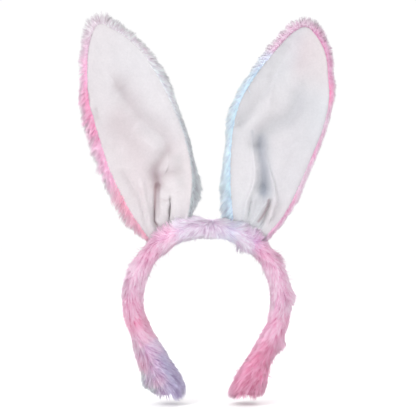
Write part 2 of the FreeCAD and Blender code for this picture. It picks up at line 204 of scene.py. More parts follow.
def ramp(nt, fac, stops):
    r = nt.nodes.new("ShaderNodeValToRGB")
    r.color_ramp.elements[0].position, r.color_ramp.elements[0].color = stops[0][0], (*stops[0][1], 1)
    r.color_ramp.elements[1].position, r.color_ramp.elements[1].color = stops[-1][0], (*stops[-1][1], 1)
    for pos, col in stops[1:-1]:
        e = r.color_ramp.elements.new(pos)
        e.color = (*col, 1)
    nt.links.new(fac, r.inputs[0])
    return r


def mix(nt, kind, fac, a, b):
    m = nt.nodes.new("ShaderNodeMix")
    m.data_type = "RGBA"
    m.blend_type = kind
    for socket, value in ((m.inputs[0], fac), (m.inputs[6], a), (m.inputs[7], b)):
        if isinstance(value, (int, float)):
            socket.default_value = value
        elif isinstance(value, tuple):
            socket.default_value = (*value, 1)
        else:
            nt.links.new(value, socket)
    return m.outputs[2]


def bump(nt, bsdf, height, strength, distance):
    b = nt.nodes.new("ShaderNodeBump")
    b.inputs["Strength"].default_value = strength
    b.inputs["Distance"].default_value = distance
    nt.links.new(height, b.inputs["Height"])
    nt.links.new(b.outputs[0], bsdf.inputs["Normal"])


def fur_material():
    """Dyed pile: darker at the root, paler at the tip, each fibre a little different."""
    mat = bpy.data.materials.new("dyed_pile")
    nt, bsdf = nodes_of(mat)
    tint, along, own = attr(nt, "tint"), attr(nt, "along"), attr(nt, "own")
    root = mix(nt, "MULTIPLY", 1.0, tint.outputs["Color"], (0.93, 0.70, 0.82))
    tip = mix(nt, "MIX", 0.44, tint.outputs["Color"], (0.98, 0.96, 0.99))
    along_ramp = ramp(nt, along.outputs["Fac"], [(0.0, (0, 0, 0)), (0.45, (0.45, 0.45, 0.45)), (1.0, (1, 1, 1))])
    colour = mix(nt, "MIX", along_ramp.outputs[0], root, tip)
    vary = ramp(nt, own.outputs["Fac"], [(0.0, (0.77, 0.66, 0.76)), (0.40, (0.97, 0.95, 0.97)), (1.0, (1.06, 1.20, 1.13))])
    hold = nt.nodes.new("ShaderNodeMapRange")
    hold.inputs[3].default_value, hold.inputs[4].default_value = 1.0, 0.62
    nt.links.new(along.outputs["Fac"], hold.inputs[0])
    colour = mix(nt, "MULTIPLY", hold.outputs[0], colour, vary.outputs[0])
    nt.links.new(colour, bsdf.inputs["Base Color"])
    bsdf.inputs["Roughness"].default_value = 0.55
    bsdf.inputs["Specular IOR Level"].default_value = 0.4
    bsdf.inputs["Sheen Weight"].default_value = 0.3
    bsdf.inputs["Sheen Roughness"].default_value = 0.5
    return mat


def backing_material():
    """The knitted ground the pile stands in."""
    mat = bpy.data.materials.new("plush_ground")
    nt, bsdf = nodes_of(mat)
    tint, rest = attr(nt, "tint"), attr(nt, "rest")
    n = noise_node(nt, rest.outputs["Vector"], 900.0, 2.0)
    knit = nt.nodes.new("ShaderNodeTexVoronoi")
    knit.inputs["Scale"].default_value = 1400.0
    nt.links.new(rest.outputs["Vector"], knit.inputs["Vector"])
    dark = mix(nt, "MULTIPLY", 1.0, tint.outputs["Color"], (0.82, 0.70, 0.80))
    shade = ramp(nt, n.outputs["Fac"], [(0.3, (0.85, 0.83, 0.86)), (0.7, (1.05, 1.05, 1.05))])
    nt.links.new(mix(nt, "MULTIPLY", 1.0, dark, shade.outputs[0]), bsdf.inputs["Base Color"])
    bsdf.inputs["Roughness"].default_value = 0.85
    bsdf.inputs["Sheen Weight"].default_value = 0.4
    bump(nt, bsdf, knit.outputs["Distance"], 0.5, 0.0004)
    return mat


def velour_material():
    """Short white velour: brushed pile, a faint pink cast in places, painted shade deep in the folds."""
    mat = bpy.data.materials.new("white_velour_pile")
    nt, bsdf = nodes_of(mat)
    rest, deep, cast = attr(nt, "rest"), attr(nt, "deep"), attr(nt, "cast")
    fine = noise_node(nt, rest.outputs["Vector"], 2600.0, 2.0, 0.6)
    nap = noise_node(nt, rest.outputs["Vector"], 90.0, 4.0, 0.6)
    weave = nt.nodes.new("ShaderNodeTexVoronoi")
    weave.inputs["Scale"].default_value = 1700.0
    nt.links.new(rest.outputs["Vector"], weave.inputs["Vector"])
    base = mix(nt, "MIX", cast.outputs["Fac"], (0.500, 0.508, 0.530), (0.537, 0.493, 0.506))
    naps = ramp(nt, nap.outputs["Fac"], [(0.3, (0.965, 0.962, 0.968)), (0.7, (1.02, 1.02, 1.02))])
    base = mix(nt, "MULTIPLY", 1.0, base, naps.outputs[0])
    grain = ramp(nt, fine.outputs["Fac"], [(0.25, (0.95, 0.95, 0.955)), (0.75, (1.02, 1.02, 1.02))])
    base = mix(nt, "MULTIPLY", 1.0, base, grain.outputs[0])
    speck = noise_node(nt, rest.outputs["Vector"], 520.0, 3.0, 0.65)
    specks = ramp(nt, speck.outputs["Fac"], [(0.3, (0.955, 0.955, 0.958)), (0.7, (1.035, 1.035, 1.035))])
    base = mix(nt, "MULTIPLY", 1.0, base, specks.outputs[0])
    # painted shade in the folds, carried by the 'deep' attribute
    base = mix(nt, "MULTIPLY", 1.0, base, deep.outputs["Color"])
    nt.links.new(base, bsdf.inputs["Base Color"])
    rough = nt.nodes.new("ShaderNodeMapRange")
    rough.inputs[3].default_value, rough.inputs[4].default_value = 0.78, 0.92
    nt.links.new(nap.outputs["Fac"], rough.inputs[0])
    nt.links.new(rough.outputs[0], bsdf.inputs["Roughness"])
    bsdf.inputs["Sheen Weight"].default_value = 0.45
    bsdf.inputs["Sheen Roughness"].default_value = 0.45
    bsdf.inputs["Specular IOR Level"].default_value = 0.2
    bump(nt, bsdf, weave.outputs["Distance"], 0.35, 0.0002)
    return mat


def thread_material(name, colour):
    mat = bpy.data.materials.new(name)
    nt, bsdf = nodes_of(mat)
    tc = nt.nodes.new("ShaderNodeTexCoord")
    wave = nt.nodes.new("ShaderNodeTexWave")
    wave.wave_type, wave.bands_direction = "BANDS", "DIAGONAL"
    wave.inputs["Scale"].default_value = 420.0
    wave.inputs["Distortion"].default_value = 1.5
    nt.links.new(tc.outputs["Object"], wave.inputs["Vector"])
    twist = ramp(nt, wave.outputs["Fac"], [(0.0, (0.78, 0.76, 0.78)), (1.0, (1.04, 1.04, 1.04))])
    nt.links.new(mix(nt, "MULTIPLY", 1.0, colour, twist.outputs[0]), bsdf.inputs["Base Color"])
    bsdf.inputs["Roughness"].default_value = 0.6
    bsdf.inputs["Sheen Weight"].default_value = 0.2
    bump(nt, bsdf, wave.outputs["Fac"], 0.4, 0.0001)
    return mat


def tape_material():
    mat = bpy.data.materials.new("cotton_tape")
    nt, bsdf = nodes_of(mat)
    tc = nt.nodes.new("ShaderNodeTexCoord")
    brick = nt.nodes.new("ShaderNodeTexBrick")
    brick.inputs["Scale"].default_value = 900.0
    brick.inputs["Color1"].default_value = (0.82, 0.80, 0.76, 1)
    brick.inputs["Color2"].default_value = (0.74, 0.72, 0.68, 1)
    brick.inputs["Mortar"].default_value = (0.52, 0.50, 0.47, 1)
    nt.links.new(tc.outputs["Object"], brick.inputs["Vector"])
    nt.links.new(brick.outputs["Color"], bsdf.inputs["Base Color"])
    bsdf.inputs["Roughness"].default_value = 0.85
    bump(nt, bsdf, brick.outputs["Fac"], 0.4, 0.0001)
    return mat


def wire_material():
    mat = bpy.data.materials.new("annealed_wire")
    nt, bsdf = nodes_of(mat)
    tc = nt.nodes.new("ShaderNodeTexCoord")
    n = noise_node(nt, tc.outputs["Object"], 700.0, 4.0)
    c = ramp(nt, n.outputs["Fac"], [(0.3, (0.42, 0.43, 0.45)), (0.7, (0.66, 0.67, 0.69))])
    nt.links.new(c.outputs[0], bsdf.inputs["Base Color"])
    bsdf.inputs["Metallic"].default_value = 1.0
    r = nt.nodes.new("ShaderNodeMapRange")
    r.inputs[3].default_value, r.inputs[4].default_value = 0.32, 0.55
    nt.links.new(n.outputs["Fac"], r.inputs[0])
    nt.links.new(r.outputs[0], bsdf.inputs["Roughness"])
    return mat


def plastic_material():
    mat = bpy.data.materials.new("moulded_band")
    nt, bsdf = nodes_of(mat)
    tc = nt.nodes.new("ShaderNodeTexCoord")
    n = noise_node(nt, tc.outputs["Object"], 260.0, 5.0)
    c = ramp(nt, n.outputs["Fac"], [(0.3, (0.74, 0.74, 0.72)), (0.7, (0.80, 0.80, 0.79))])
    nt.links.new(c.outputs[0], bsdf.inputs["Base Color"])
    r = nt.nodes.new("ShaderNodeMapRange")
    r.inputs[3].default_value, r.inputs[4].default_value = 0.34, 0.48
    nt.links.new(n.outputs["Fac"], r.inputs[0])
    nt.links.new(r.outputs[0], bsdf.inputs["Roughness"])
    bump(nt, bsdf, n.outputs["Fac"], 0.12, 0.0001)
    return mat


M_FUR, M_GROUND, M_VELOUR = fur_material(), backing_material(), velour_material()
M_THREAD = thread_material("polyester_thread", (0.86, 0.78, 0.84))
M_WHITE_THREAD = thread_material("white_thread", (0.84, 0.82, 0.82))
M_TAPE, M_WIRE, M_BAND = tape_material(), wire_material(), plastic_material()


# ------------------------------------------------------------------ mesh helpers
def make_mesh(name, verts_mm, faces, mat, smooth_faces=True):
    """faces is a list of (k, 3) or (k, 4) index arrays."""
    me = bpy.data.meshes.new(name)
    v = np.asarray(verts_mm, np.float32) * MM
    me.vertices.add(len(v))
    me.vertices.foreach_set("co", v.ravel())
    loops = np.concatenate([np.asarray(f).ravel() for f in faces]).astype(np.int32)
    counts = np.concatenate([np.full(len(f), np.asarray(f).shape[1]) for f in faces]).astype(np.int32)
    starts = np.concatenate([[0], np.cumsum(counts)[:-1]]).astype(np.int32)
    me.loops.add(len(loops))
    me.loops.foreach_set("vertex_index", loops)
    me.polygons.add(len(counts))
    me.polygons.foreach_set("loop_start", starts)
    me.polygons.foreach_set("use_smooth", np.full(len(counts), smooth_faces))
    me.update(calc_edges=True)
    me.materials.append(mat)
    ob = bpy.data.objects.new(name, me)
    scene.collection.objects.link(ob)
    return ob


def put_attr(ob, name, kind, values):
    a = ob.data.attributes.new(name, kind, "POINT")
    v = np.asarray(values, np.float32)
    if kind == "FLOAT_COLOR":
        v = np.concatenate([v, np.ones((len(v), 1), np.float32)], axis=1)
        a.data.foreach_set("color", v.ravel())
    elif kind == "FLOAT_VECTOR":
        a.data.foreach_set("vector", v.ravel())
    else:
        a.data.foreach_set("value", v.ravel())


def rest_attr(ob, verts_mm):
    put_attr(ob, "rest", "FLOAT_VECTOR", np.asarray(verts_mm) * MM)


def tidy(ob):
    """Merge doubled points and drop faces with no area."""
    import bmesh
    bm = bmesh.new()
    bm.from_mesh(ob.data)
    bmesh.ops.remove_doubles(bm, verts=bm.verts, dist=2e-6)
    bmesh.ops.dissolve_degenerate(bm, dist=1e-6, edges=bm.edges)
    bmesh.ops.recalc_face_normals(bm, faces=bm.faces)
    bm.to_mesh(ob.data)
    bm.free()
    for poly in ob.data.polygons:
        poly.use_smooth = True


def face_out(ob, inside_mm):
    """Turn every face outwards, judged by the face nearest the given inner point."""
    me = ob.data
    c, n = np.zeros(len(me.polygons) * 3), np.zeros(len(me.polygons) * 3)
    me.polygons.foreach_get("center", c)
    me.polygons.foreach_get("normal", n)
    c, n = c.reshape(-1, 3), n.reshape(-1, 3)
    v = c - np.asarray(inside_mm) * MM
    i = int(np.argmin(np.linalg.norm(v, axis=1)))
    if v[i] @ n[i] < 0:
        me.flip_normals()


def thicken(ob, mm, offset=-1.0):
    m = ob.modifiers.new("thick", "SOLIDIFY")
    m.thickness = mm * MM
    m.offset = offset
    m.use_rim = True
    with bpy.context.temp_override(object=ob, active_object=ob, selected_objects=[ob]):
        bpy.ops.object.modifier_apply(modifier="thick")


def frames(path):
    """A twist-free pair of normals along a path."""
    t = unit(np.gradient(path, axis=0))
    a = np.zeros_like(t)
    n = np.cross(t[0], (0, 1, 0))
    if np.linalg.norm(n) < 0.1:
        n = np.cross(t[0], (1, 0, 0))
    n = n / np.linalg.norm(n)
    for i in range(len(t)):
        n = n - t[i] * (n @ t[i])
        n = n / np.linalg.norm(n)
        a[i] = n
    return t, a, np.cross(t, a)


def tube_mesh(path, radius, sides=8, closed=False):
    """Vertices and faces of a round tube along a path, with domed ends."""
    path = np.asarray(path, float)
    r = np.broadcast_to(np.asarray(radius, float), (len(path),)).copy()
    if closed:
        t = unit(np.roll(path, -1, 0) - np.roll(path, 1, 0))
        up = np.tile((0.0, 1.0, 0.0), (len(path), 1))
        a = unit(np.cross(t, up))
        b = np.cross(t, a)
    else:
        t, a, b = frames(path)
    w = np.linspace(0, 2 * math.pi, sides, endpoint=False)
    ring = path[:, None, :] + r[:, None, None] * (np.cos(w)[None, :, None] * a[:, None, :] + np.sin(w)[None, :, None] * b[:, None, :])
    n = len(path)
    verts = ring.reshape(-1, 3)
    i = np.arange(n if closed else n - 1)[:, None]
    j = np.arange(sides)[None, :]
    i2, j2 = (i + 1) % n, (j + 1) % sides
    quads = np.stack([i * sides + j, i * sides + j2, i2 * sides + j2, i2 * sides + j], -1).reshape(-1, 4)
    if closed:
        return verts, [quads]
    tips = np.array([path[0] - t[0] * r[0] * 0.6, path[-1] + t[-1] * r[-1] * 0.6])
    base = len(verts)
    verts = np.concatenate([verts, tips])
    j = np.arange(sides)
    caps = np.concatenate([
        np.stack([np.full(sides, base), (j + 1) % sides, j], -1),
        np.stack([np.full(sides, base + 1), (n - 1) * sides + j, (n - 1) * sides + (j + 1) % sides], -1)])
    return verts, [quads, caps]


def join_parts(parts):
    """Several (verts, faces) into one."""
    verts, tris, quads, base = [], [], [], 0
    for v, fs in parts:
        verts.append(v)
        for f in fs:
            (tris if f.shape[1] == 3 else quads).append(f + base)
        base += len(v)
    out = []
    if quads:
        out.append(np.concatenate(quads))
    if tris:
        out.append(np.concatenate(tris))
    return np.concatenate(verts), out


# ------------------------------------------------------------------ fur
COAT = 0.80


def fur(name, roots, normals, comb, length, width, seed, tint, lift=(0.75, 0.28), clump=2.4, pull=0.75,
        curl=0.25, rings=3, streak=1.0, lines=0.0):
    """Real tapered fibres. roots, normals, comb: (n, 3) in mm; length, width: (n,) in mm."""
    rng = np.random.default_rng(seed)
    n = len(roots)
    length = length * rng.uniform(0.72, 1.15, n)
    d0 = unit(normals * lift[0] + comb * (1 - lift[0]) + rng.normal(0, 0.08, (n, 3)))
    d1 = unit(normals * lift[1] + comb * (1 - lift[1]) + rng.normal(0, 0.06, (n, 3)))
    ts = np.array([0.0, 0.42, 0.78, 1.0]) if rings == 3 else np.array([0.0, 0.55, 1.0])
    pts = np.stack([roots + length[:, None] * (d0 * t + (d1 - d0) * (t * t * 0.5 + 0.12 * math.sin(math.pi * t))) for t in ts], 1)
    stray = rng.uniform(0, 1, n) < 0.05
    fling = unit(normals * 0.55 + comb * 0.7 + rng.normal(0, 0.35, (n, 3)))
    pts[stray] = roots[stray][:, None, :] + fling[stray][:, None, :] * (length[stray] * 0.92)[:, None, None] * ts[None, :, None]
    # locks: fibres lean together towards the tip of the nearest lock, small locks within large ones
    own = 0.5 + 0.10 * rng.normal(0, 1, n) + lines
    lean = np.zeros((n, 3))
    for size, share, tone, tilt in ((clump, pull * 0.6, 0.09 * streak, 0.10), (clump * 0.42, pull, 0.24 * streak, 0.17 * streak)):
        cell = np.floor((roots + 0.3 * size * rng.normal(0, 0.3, (n, 3))) / size).astype(np.int64)
        key = (cell[:, 0] * 73856093) ^ (cell[:, 1] * 19349663) ^ (cell[:, 2] * 83492791)
        _, inv = np.unique(key, return_inverse=True)
        inv = inv.reshape(-1)
        count = np.bincount(inv)
        tip = np.stack([np.bincount(inv, pts[:, -1, k]) / count for k in range(3)], 1)
        extra = rng.normal(0, 1.0, (len(count), 3))
        lock_len = rng.uniform(-0.6, 1.6, len(count)) * size / 2.5
        target = tip[inv] + extra[inv] * curl * size * 0.5 + comb * lock_len[inv][:, None] * 0.5
        strength = share * rng.uniform(0.55, 1.0, n) * np.where(stray, 0.15, 1.0)
        shift = (target - pts[:, -1]) * strength[:, None]
        for i, t in enumerate(ts):
            pts[:, i] += shift * t ** 1.6
        own = own + tone * rng.normal(0, 1, len(count))[inv]
        lean += tilt * rng.normal(0, 1, (len(count), 3))[inv]
    own = np.clip(own, 0, 1)
    tint = np.clip(tint, 0, 1) ** (1.0 + 0.75 * np.clip((0.5 - own) * 2, 0, 1))[:, None]
    axis = unit(pts[:, -1] - pts[:, 0])
    a = unit(np.cross(axis, rng.normal(0, 1, (n, 3))))
    b = np.cross(axis, a)
    prof = np.array([1.0, 0.86, 0.52]) if rings == 3 else np.array([1.0, 0.7])
    verts = []
    for i in range(rings):
        for k in range(3):
            w = 2 * math.pi * k / 3
            verts.append(pts[:, i] + (width * prof[i])[:, None] * (math.cos(w) * a + math.sin(w) * b))
    verts.append(pts[:, -1])
    per = len(verts)
    verts = np.stack(verts, 1).reshape(-1, 3)
    base = np.arange(n)[:, None] * per
    quads, tris, quv, tuv = [], [], [], []
    cols = int(math.ceil(math.sqrt(n)))
    cu, cv = (np.arange(n) % cols) / cols, (np.arange(n) // cols) / cols
    s = 1.0 / cols
    def uv(k, t):
        return np.stack([cu + s * (0.1 + 0.8 * k / 3), cv + s * (0.08 + 0.84 * t)], -1)
    for i in range(rings - 1):
        for k in range(3):
            k2 = (k + 1) % 3
            quads.append(base + np.array([[3 * i + k, 3 * i + k2, 3 * i + 3 + k2, 3 * i + 3 + k]]))
            quv.append(np.stack([uv(k, ts[i]), uv(k + 1, ts[i]), uv(k + 1, ts[i + 1]), uv(k, ts[i + 1])], 1))
    for k in range(3):
        k2 = (k + 1) % 3
        tris.append(base + np.array([[3 * (rings - 1) + k, 3 * (rings - 1) + k2, 3 * rings]]))
        tuv.append(np.stack([uv(k, ts[rings - 1]), uv(k + 1, ts[rings - 1]), uv(k + 0.5, 1.0)], 1))
    tris.append(base + np.array([[2, 1, 0]]))
    tuv.append(np.stack([uv(0, 0.0), uv(1.5, 0.0), uv(3, 0.06)], 1))
    ob = make_mesh(name, verts, [np.concatenate(quads), np.concatenate(tris)], M_FUR)
    # light falls on the coat as a whole, so each fibre's normals lean towards the cloth's
    radial = [math.cos(2 * math.pi * k / 3) * a + math.sin(2 * math.pi * k / 3) * b for _ in range(rings) for k in range(3)] + [axis * 0.3]
    soft = unit(np.stack(radial, 1) * (1 - COAT) + (normals + 0.25 * comb + lean)[:, None, :] * COAT)
    ob.data.normals_split_custom_set_from_vertices(soft.reshape(-1, 3).astype(np.float32))
    layer = ob.data.uv_layers.new(name="OFBake")
    layer.data.foreach_set("uv", np.concatenate([np.concatenate(quv).reshape(-1, 2), np.concatenate(tuv).reshape(-1, 2)]).astype(np.float32).ravel())
    put_attr(ob, "tint", "FLOAT_COLOR", np.repeat(tint, per, 0))
    tt = np.concatenate([np.repeat(ts[:rings], 3), [1.0]])
    put_attr(ob, "along", "FLOAT", np.tile(tt, n))
    put_attr(ob, "own", "FLOAT", np.repeat(own, per))
    return ob


# ------------------------------------------------------------------ band line
TAIL_S = np.array([0.0, 11.0, 21.0, 31.0, 39.0, 44.0, 47.5, 50.0])
TAIL_A = np.array([7.0, 7.7, 9.0, 11.2, 12.5, 12.0, 9.8, 5.2])
TAIL_B = np.array([10.0, 10.3, 11.0, 11.8, 12.2, 11.9, 10.2, 6.0])


def band_frame(t):
    """Centre, tangent and outward normal t mm along the right half from the top."""
    t = np.atleast_1d(np.asarray(t, float))
    a = np.minimum(t, ARC_LEN) / R_BAND
    c = np.stack([R_BAND * np.sin(a), 0 * a, ZC + R_BAND * np.cos(a)], -1)
    d = np.stack([np.cos(a), 0 * a, -np.sin(a)], -1)
    n = np.stack([np.sin(a), 0 * a, np.cos(a)], -1)
    s = np.maximum(t - ARC_LEN, 0) / R_TAIL
    d1 = d * np.cos(s)[:, None] + n * np.sin(s)[:, None]
    n1 = n * np.cos(s)[:, None] - d * np.sin(s)[:, None]
    c1 = c + n * R_TAIL - n * (np.cos(s) * R_TAIL)[:, None] + d * (np.sin(s) * R_TAIL)[:, None]
    return c1, d1, n1


def sleeve_half(t, side):
    s = np.maximum(np.asarray(t, float) - ARC_LEN, 0)
    a = np.interp(s, TAIL_S, TAIL_A)
    b = np.interp(s, TAIL_S, TAIL_B)
    return a, b


def sleeve_point(t, th, side, grow=0.0):
    """A point and normal on the sleeve: th is the angle round it from its outer side, towards the front."""
    c, d, n = band_frame(t)
    a, b = sleeve_half(t, side)
    ct, st = np.cos(th), np.sin(th)
    q = np.stack([c[:, 0] * side, 0 * t, c[:, 2]], -1)
    lump = 0.55 * N1(q + np.stack([3.0 * ct, 3.0 * st, 0 * ct], -1) * 3, 17.0)
    slack = smooth((np.asarray(t) - ARC_LEN - 8) / 30.0)
    wr = slack * 0.5 * np.sin(th * 7 + 3.0 * N2(q * 1.0 + 9, 22.0) + side)
    a = a + lump + wr + grow
    b = b + lump + wr + grow
    p = c + n * (a * ct)[:, None]
    p[:, 1] = -b * st
    level = smooth((np.asarray(t) - ARC_LEN - 16) / 26.0)
    p = p - d * (level * ct * a * 0.36)[:, None]
    nn = n * (ct / a)[:, None]
    nn[:, 1] = -st / b
    nn = unit(nn)
    d = d.copy()
    for arr in (p, nn, d):
        arr[:, 0] *= side
    return p, nn, d


def build_sleeve(side):
    word = "right" if side > 0 else "left"
    t_end = ARC_LEN + TAIL
    nt, nth = 150, 56
    ts = np.concatenate([np.linspace(0, ARC_LEN + 40, nt - 22), np.linspace(ARC_LEN + 41, t_end, 20)])
    th = np.linspace(0, 2 * math.pi, nth, endpoint=False)
    T, TH = np.meshgrid(ts, th, indexing="ij")
    p, nn, d = sleeve_point(T.ravel(), TH.ravel(), side)
    rows = len(ts)
    # the gathered end: pleats run in to the neck, then a small rosette
    c, dd, n = band_frame(np.array([t_end]))
    c, dd, n = c[0].copy(), dd[0].copy(), n[0].copy()
    for arr in (c, dd, n):
        arr[0] *= side
    rings = []
    for off, r, pleat in ((1.0, 3.9, 0.5), (1.7, 3.1, 0.45), (2.4, 3.0, 0.35), (3.0, 3.9, 0.8), (3.9, 4.5, 1.0), (4.8, 4.1, 1.0), (5.3, 2.8, 0.8), (5.1, 1.4, 0.4), (4.4, 0.6, 0.1)):
        rr = r + pleat * np.cos(th * 9 + (2 if side > 0 else 0)) * 0.5
        ring = c + dd * off + np.outer(np.cos(th) * rr, n) + np.outer(np.sin(th) * rr, (0, -1, 0))
        rings.append(ring)
    verts = np.concatenate([p] + rings)
    m = rows + len(rings)
    i = np.arange(m - 1)[:, None]
    j = np.arange(nth)[None, :]
    quads = np.stack([i * nth + j, i * nth + (j + 1) % nth, (i + 1) * nth + (j + 1) % nth, (i + 1) * nth + j], -1).reshape(-1, 4)
    cb = len(verts)
    verts = np.concatenate([verts, [c + dd * 4.2]])
    j = np.arange(nth)
    caps = np.stack([np.full(nth, cb), (m - 1) * nth + j, (m - 1) * nth + (j + 1) % nth], -1)
    ob = make_mesh("sleeve_%s_half" % word, verts, [quads, caps], M_GROUND)
    put_attr(ob, "tint", "FLOAT_COLOR", dye(verts, BAND_DYE))
    rest_attr(ob, verts)
    tidy(ob)
    face_out(ob, band_frame(np.array([60.0]))[0][0] * [side, 1, 1])
    thicken(ob, 0.6)
    return ob


def flex_blend(ob):
    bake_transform(ob)


# tufts that stand out of the coat: x, z, which way they point (x, z), reach
TUFTS = [
    (-32.4, -11.5, (-0.75, -0.65), 5.0), (27.5, -9.0, (-0.96, -0.22), 5.5), 
    (-68.0, -21.0, (-0.90, -0.25), 6.0), (63.0, -16.0, (0.80, 0.35), 6.0), (74.5, -50.0, (0.80, -0.60), 7.0),
    (67.0, -92.0, (0.65, -0.75), 6.0), (-8.0, -5.5, (-0.50, -0.80), 4.5)]


def band_fur(side):
    """Pile of one half of the sleeve, in two pieces small enough to handle."""
    word = "right" if side > 0 else "left"
    rng = np.random.default_rng(100 + side)
    t_end = ARC_LEN + TAIL
    made = []
    spans = [("upper", 0.0, ARC_LEN * 0.78, 12200), ("lower", ARC_LEN * 0.78, t_end, 12200)]
    root_at = math.radians(31.6 if side > 0 else 27.7) * R_BAND
    for part, t0, t1, n in spans:
        grid = np.linspace(t0, t1, 200)
        a, b = sleeve_half(grid, side)
        weight = (a + b) / (a + b).sum()
        cum = np.concatenate([[0], np.cumsum(weight)])
        t = np.interp(rng.uniform(0, 1, n), cum, np.concatenate([grid, [t1]]))
        th = rng.uniform(0, 2 * math.pi, n)
        p, nn, d = sleeve_point(t, th, side, grow=-0.35)
        c, _, out = band_frame(t)
        out = out * [side, 1, 1]
        inner = -out
        swirl = 0.34 * N3(p + 31, 26.0) + 0.16 * N4(p, 9.0)
        crown = smooth(1 - t / 42.0)
        across = 0.30 + 0.45 * crown + swirl
        comb = d + inner * across[:, None]
        # over the crown the coat is brushed down to either side of a soft parting right of the middle
        turn = np.interp(p[:, 0], [-40, -24, -10, -1, 4, 8, 14, 24, 36], [-58, -52, -46, -36, -10, 26, 50, 54, 50])
        turn = np.radians(turn + 16 * N3(p, 14.0) + 9 * N4(p, 6.0))
        brushed = np.stack([np.sin(turn), 0 * turn, -np.cos(turn)], -1)
        k = smooth(1.6 - t / 24.0)[:, None]
        comb = comb * (1 - k) + brushed * k
        comb = comb - nn * (comb * nn).sum(1, keepdims=True) * 0.92
        if side < 0:
            flap = smooth((t - 122) / 24) * smooth((np.cos(th) - 0.05) * 1.25)
            comb = comb + out * (0.70 * flap)[:, None] + inner * (0.34 * smooth((t - 102) / 25) * (1 - flap))[:, None]
        else:
            flap = 0 * t
        comb = unit(comb)
        length = 10.4 + 1.9 * N2(p, 9.0) + 1.3 * N4(p + 50, 4.5) + 1.0 * flap
        length = length * (1 - 0.26 * np.exp(-((t - 54) / 17.0) ** 2))
        length = length * (1 - 0.20 * smooth(1.5 - t / 26.0) * smooth(-np.cos(th) * 1.6))
        ruff = smooth(np.cos(th) * 1.6 - 0.3) * np.exp(-((p[:, 0] + 6) / 13.0) ** 2)
        comb = unit(comb + out * (0.34 * ruff)[:, None])
        normals = nn.copy()
        # in front of and behind each ear's foot the pile stands up over the seam
        near = smooth(1.30 - np.abs(t - root_at) / np.where(t > root_at, 13.0, 17.0))
        rise = near * smooth((np.cos(th) - 0.02) / 0.50)
        lean = 0.35 * (root_at - t) / 17.0 + 0.30 * N1(p, 7.0)
        up = unit(out * 0.95 + d * lean[:, None] + np.array([0.0, 1.0, 0.0])[None, :] * (0.32 * np.sin(th))[:, None])
        comb = unit(comb * (1 - rise)[:, None] + up * rise[:, None])
        length = length * (1 - 0.16 * rise)
        # the gathered end: pile runs on past the seam and closes over it
        tail = smooth((t - (t_end - 9)) / 9)
        comb = unit(comb * (1 - tail)[:, None] + (d + 0.12 * nn)[:, None, :][:, 0] * tail[:, None])
        length = length + 1.9 * tail
        lip = smooth((t - (t_end - 18)) / 10) * smooth(-np.cos(th) * 1.4 + 0.1)
        comb = unit(comb - out * (0.22 * lip)[:, None] + np.array([0.0, 0.0, -0.9])[None, :] * lip[:, None])
        length = length + 3.2 * lip
        if side < 0:
            length = length - 3.0 * smooth((t - (t_end - 14)) / 10) * smooth(np.cos(th) * 1.6)
        for tx, tz, way, reach in TUFTS:
            k = 0.70 * np.exp(-(((p[:, 0] - tx) ** 2 + (p[:, 2] - tz) ** 2) / reach ** 2))
            w = np.array([way[0], 0.0, way[1]])
            comb = unit(comb * (1 - 0.85 * k)[:, None] + (w + 0.25 * nn) * (0.85 * k)[:, None])
            length = length * (1 + 0.22 * k)
        width = rng.uniform(0.16, 0.26, n)
        # long thin streaks of darker and paler pile, along the lines the coat is brushed in
        flow = np.log(np.clip(np.abs(np.tan(th / 2)), 0.05, 20.0)) - 0.035 * t
        half = 30.0 * np.sign(np.sin(th)) + 60.0 * side
        lines = 0.60 * N2(np.stack([flow * 8.5, t * 0.12, half], -1), 1.5) + 0.40 * N4(np.stack([flow * 8.5, t * 0.20, half], -1), 0.85)
        lines = 0.72 * lines * (1 - 0.75 * smooth(1.6 - t / 24.0)) * (1 - 0.35 * flap)
        tint = dye(p + comb * 2.0, BAND_DYE)
        ob = fur("sleeve_%s_pile_%s" % (word, part), p, normals, comb, length, width, 200 + 10 * side + (part == "lower"), tint,
                 lift=(0.42, 0.05), clump=3.2, pull=0.80, curl=0.16, streak=0.90, lines=lines)
        made.append(ob)
    return made


# ------------------------------------------------------------------ build: sleeve
for side in (-1, 1):
    word = "right" if side > 0 else "left"
    skin = build_sleeve(side)
    flex_blend(skin)
    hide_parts("sleeve_crown", "sleeve_%s_arm" % word)
    for ob in band_fur(side):
        flex_blend(ob)


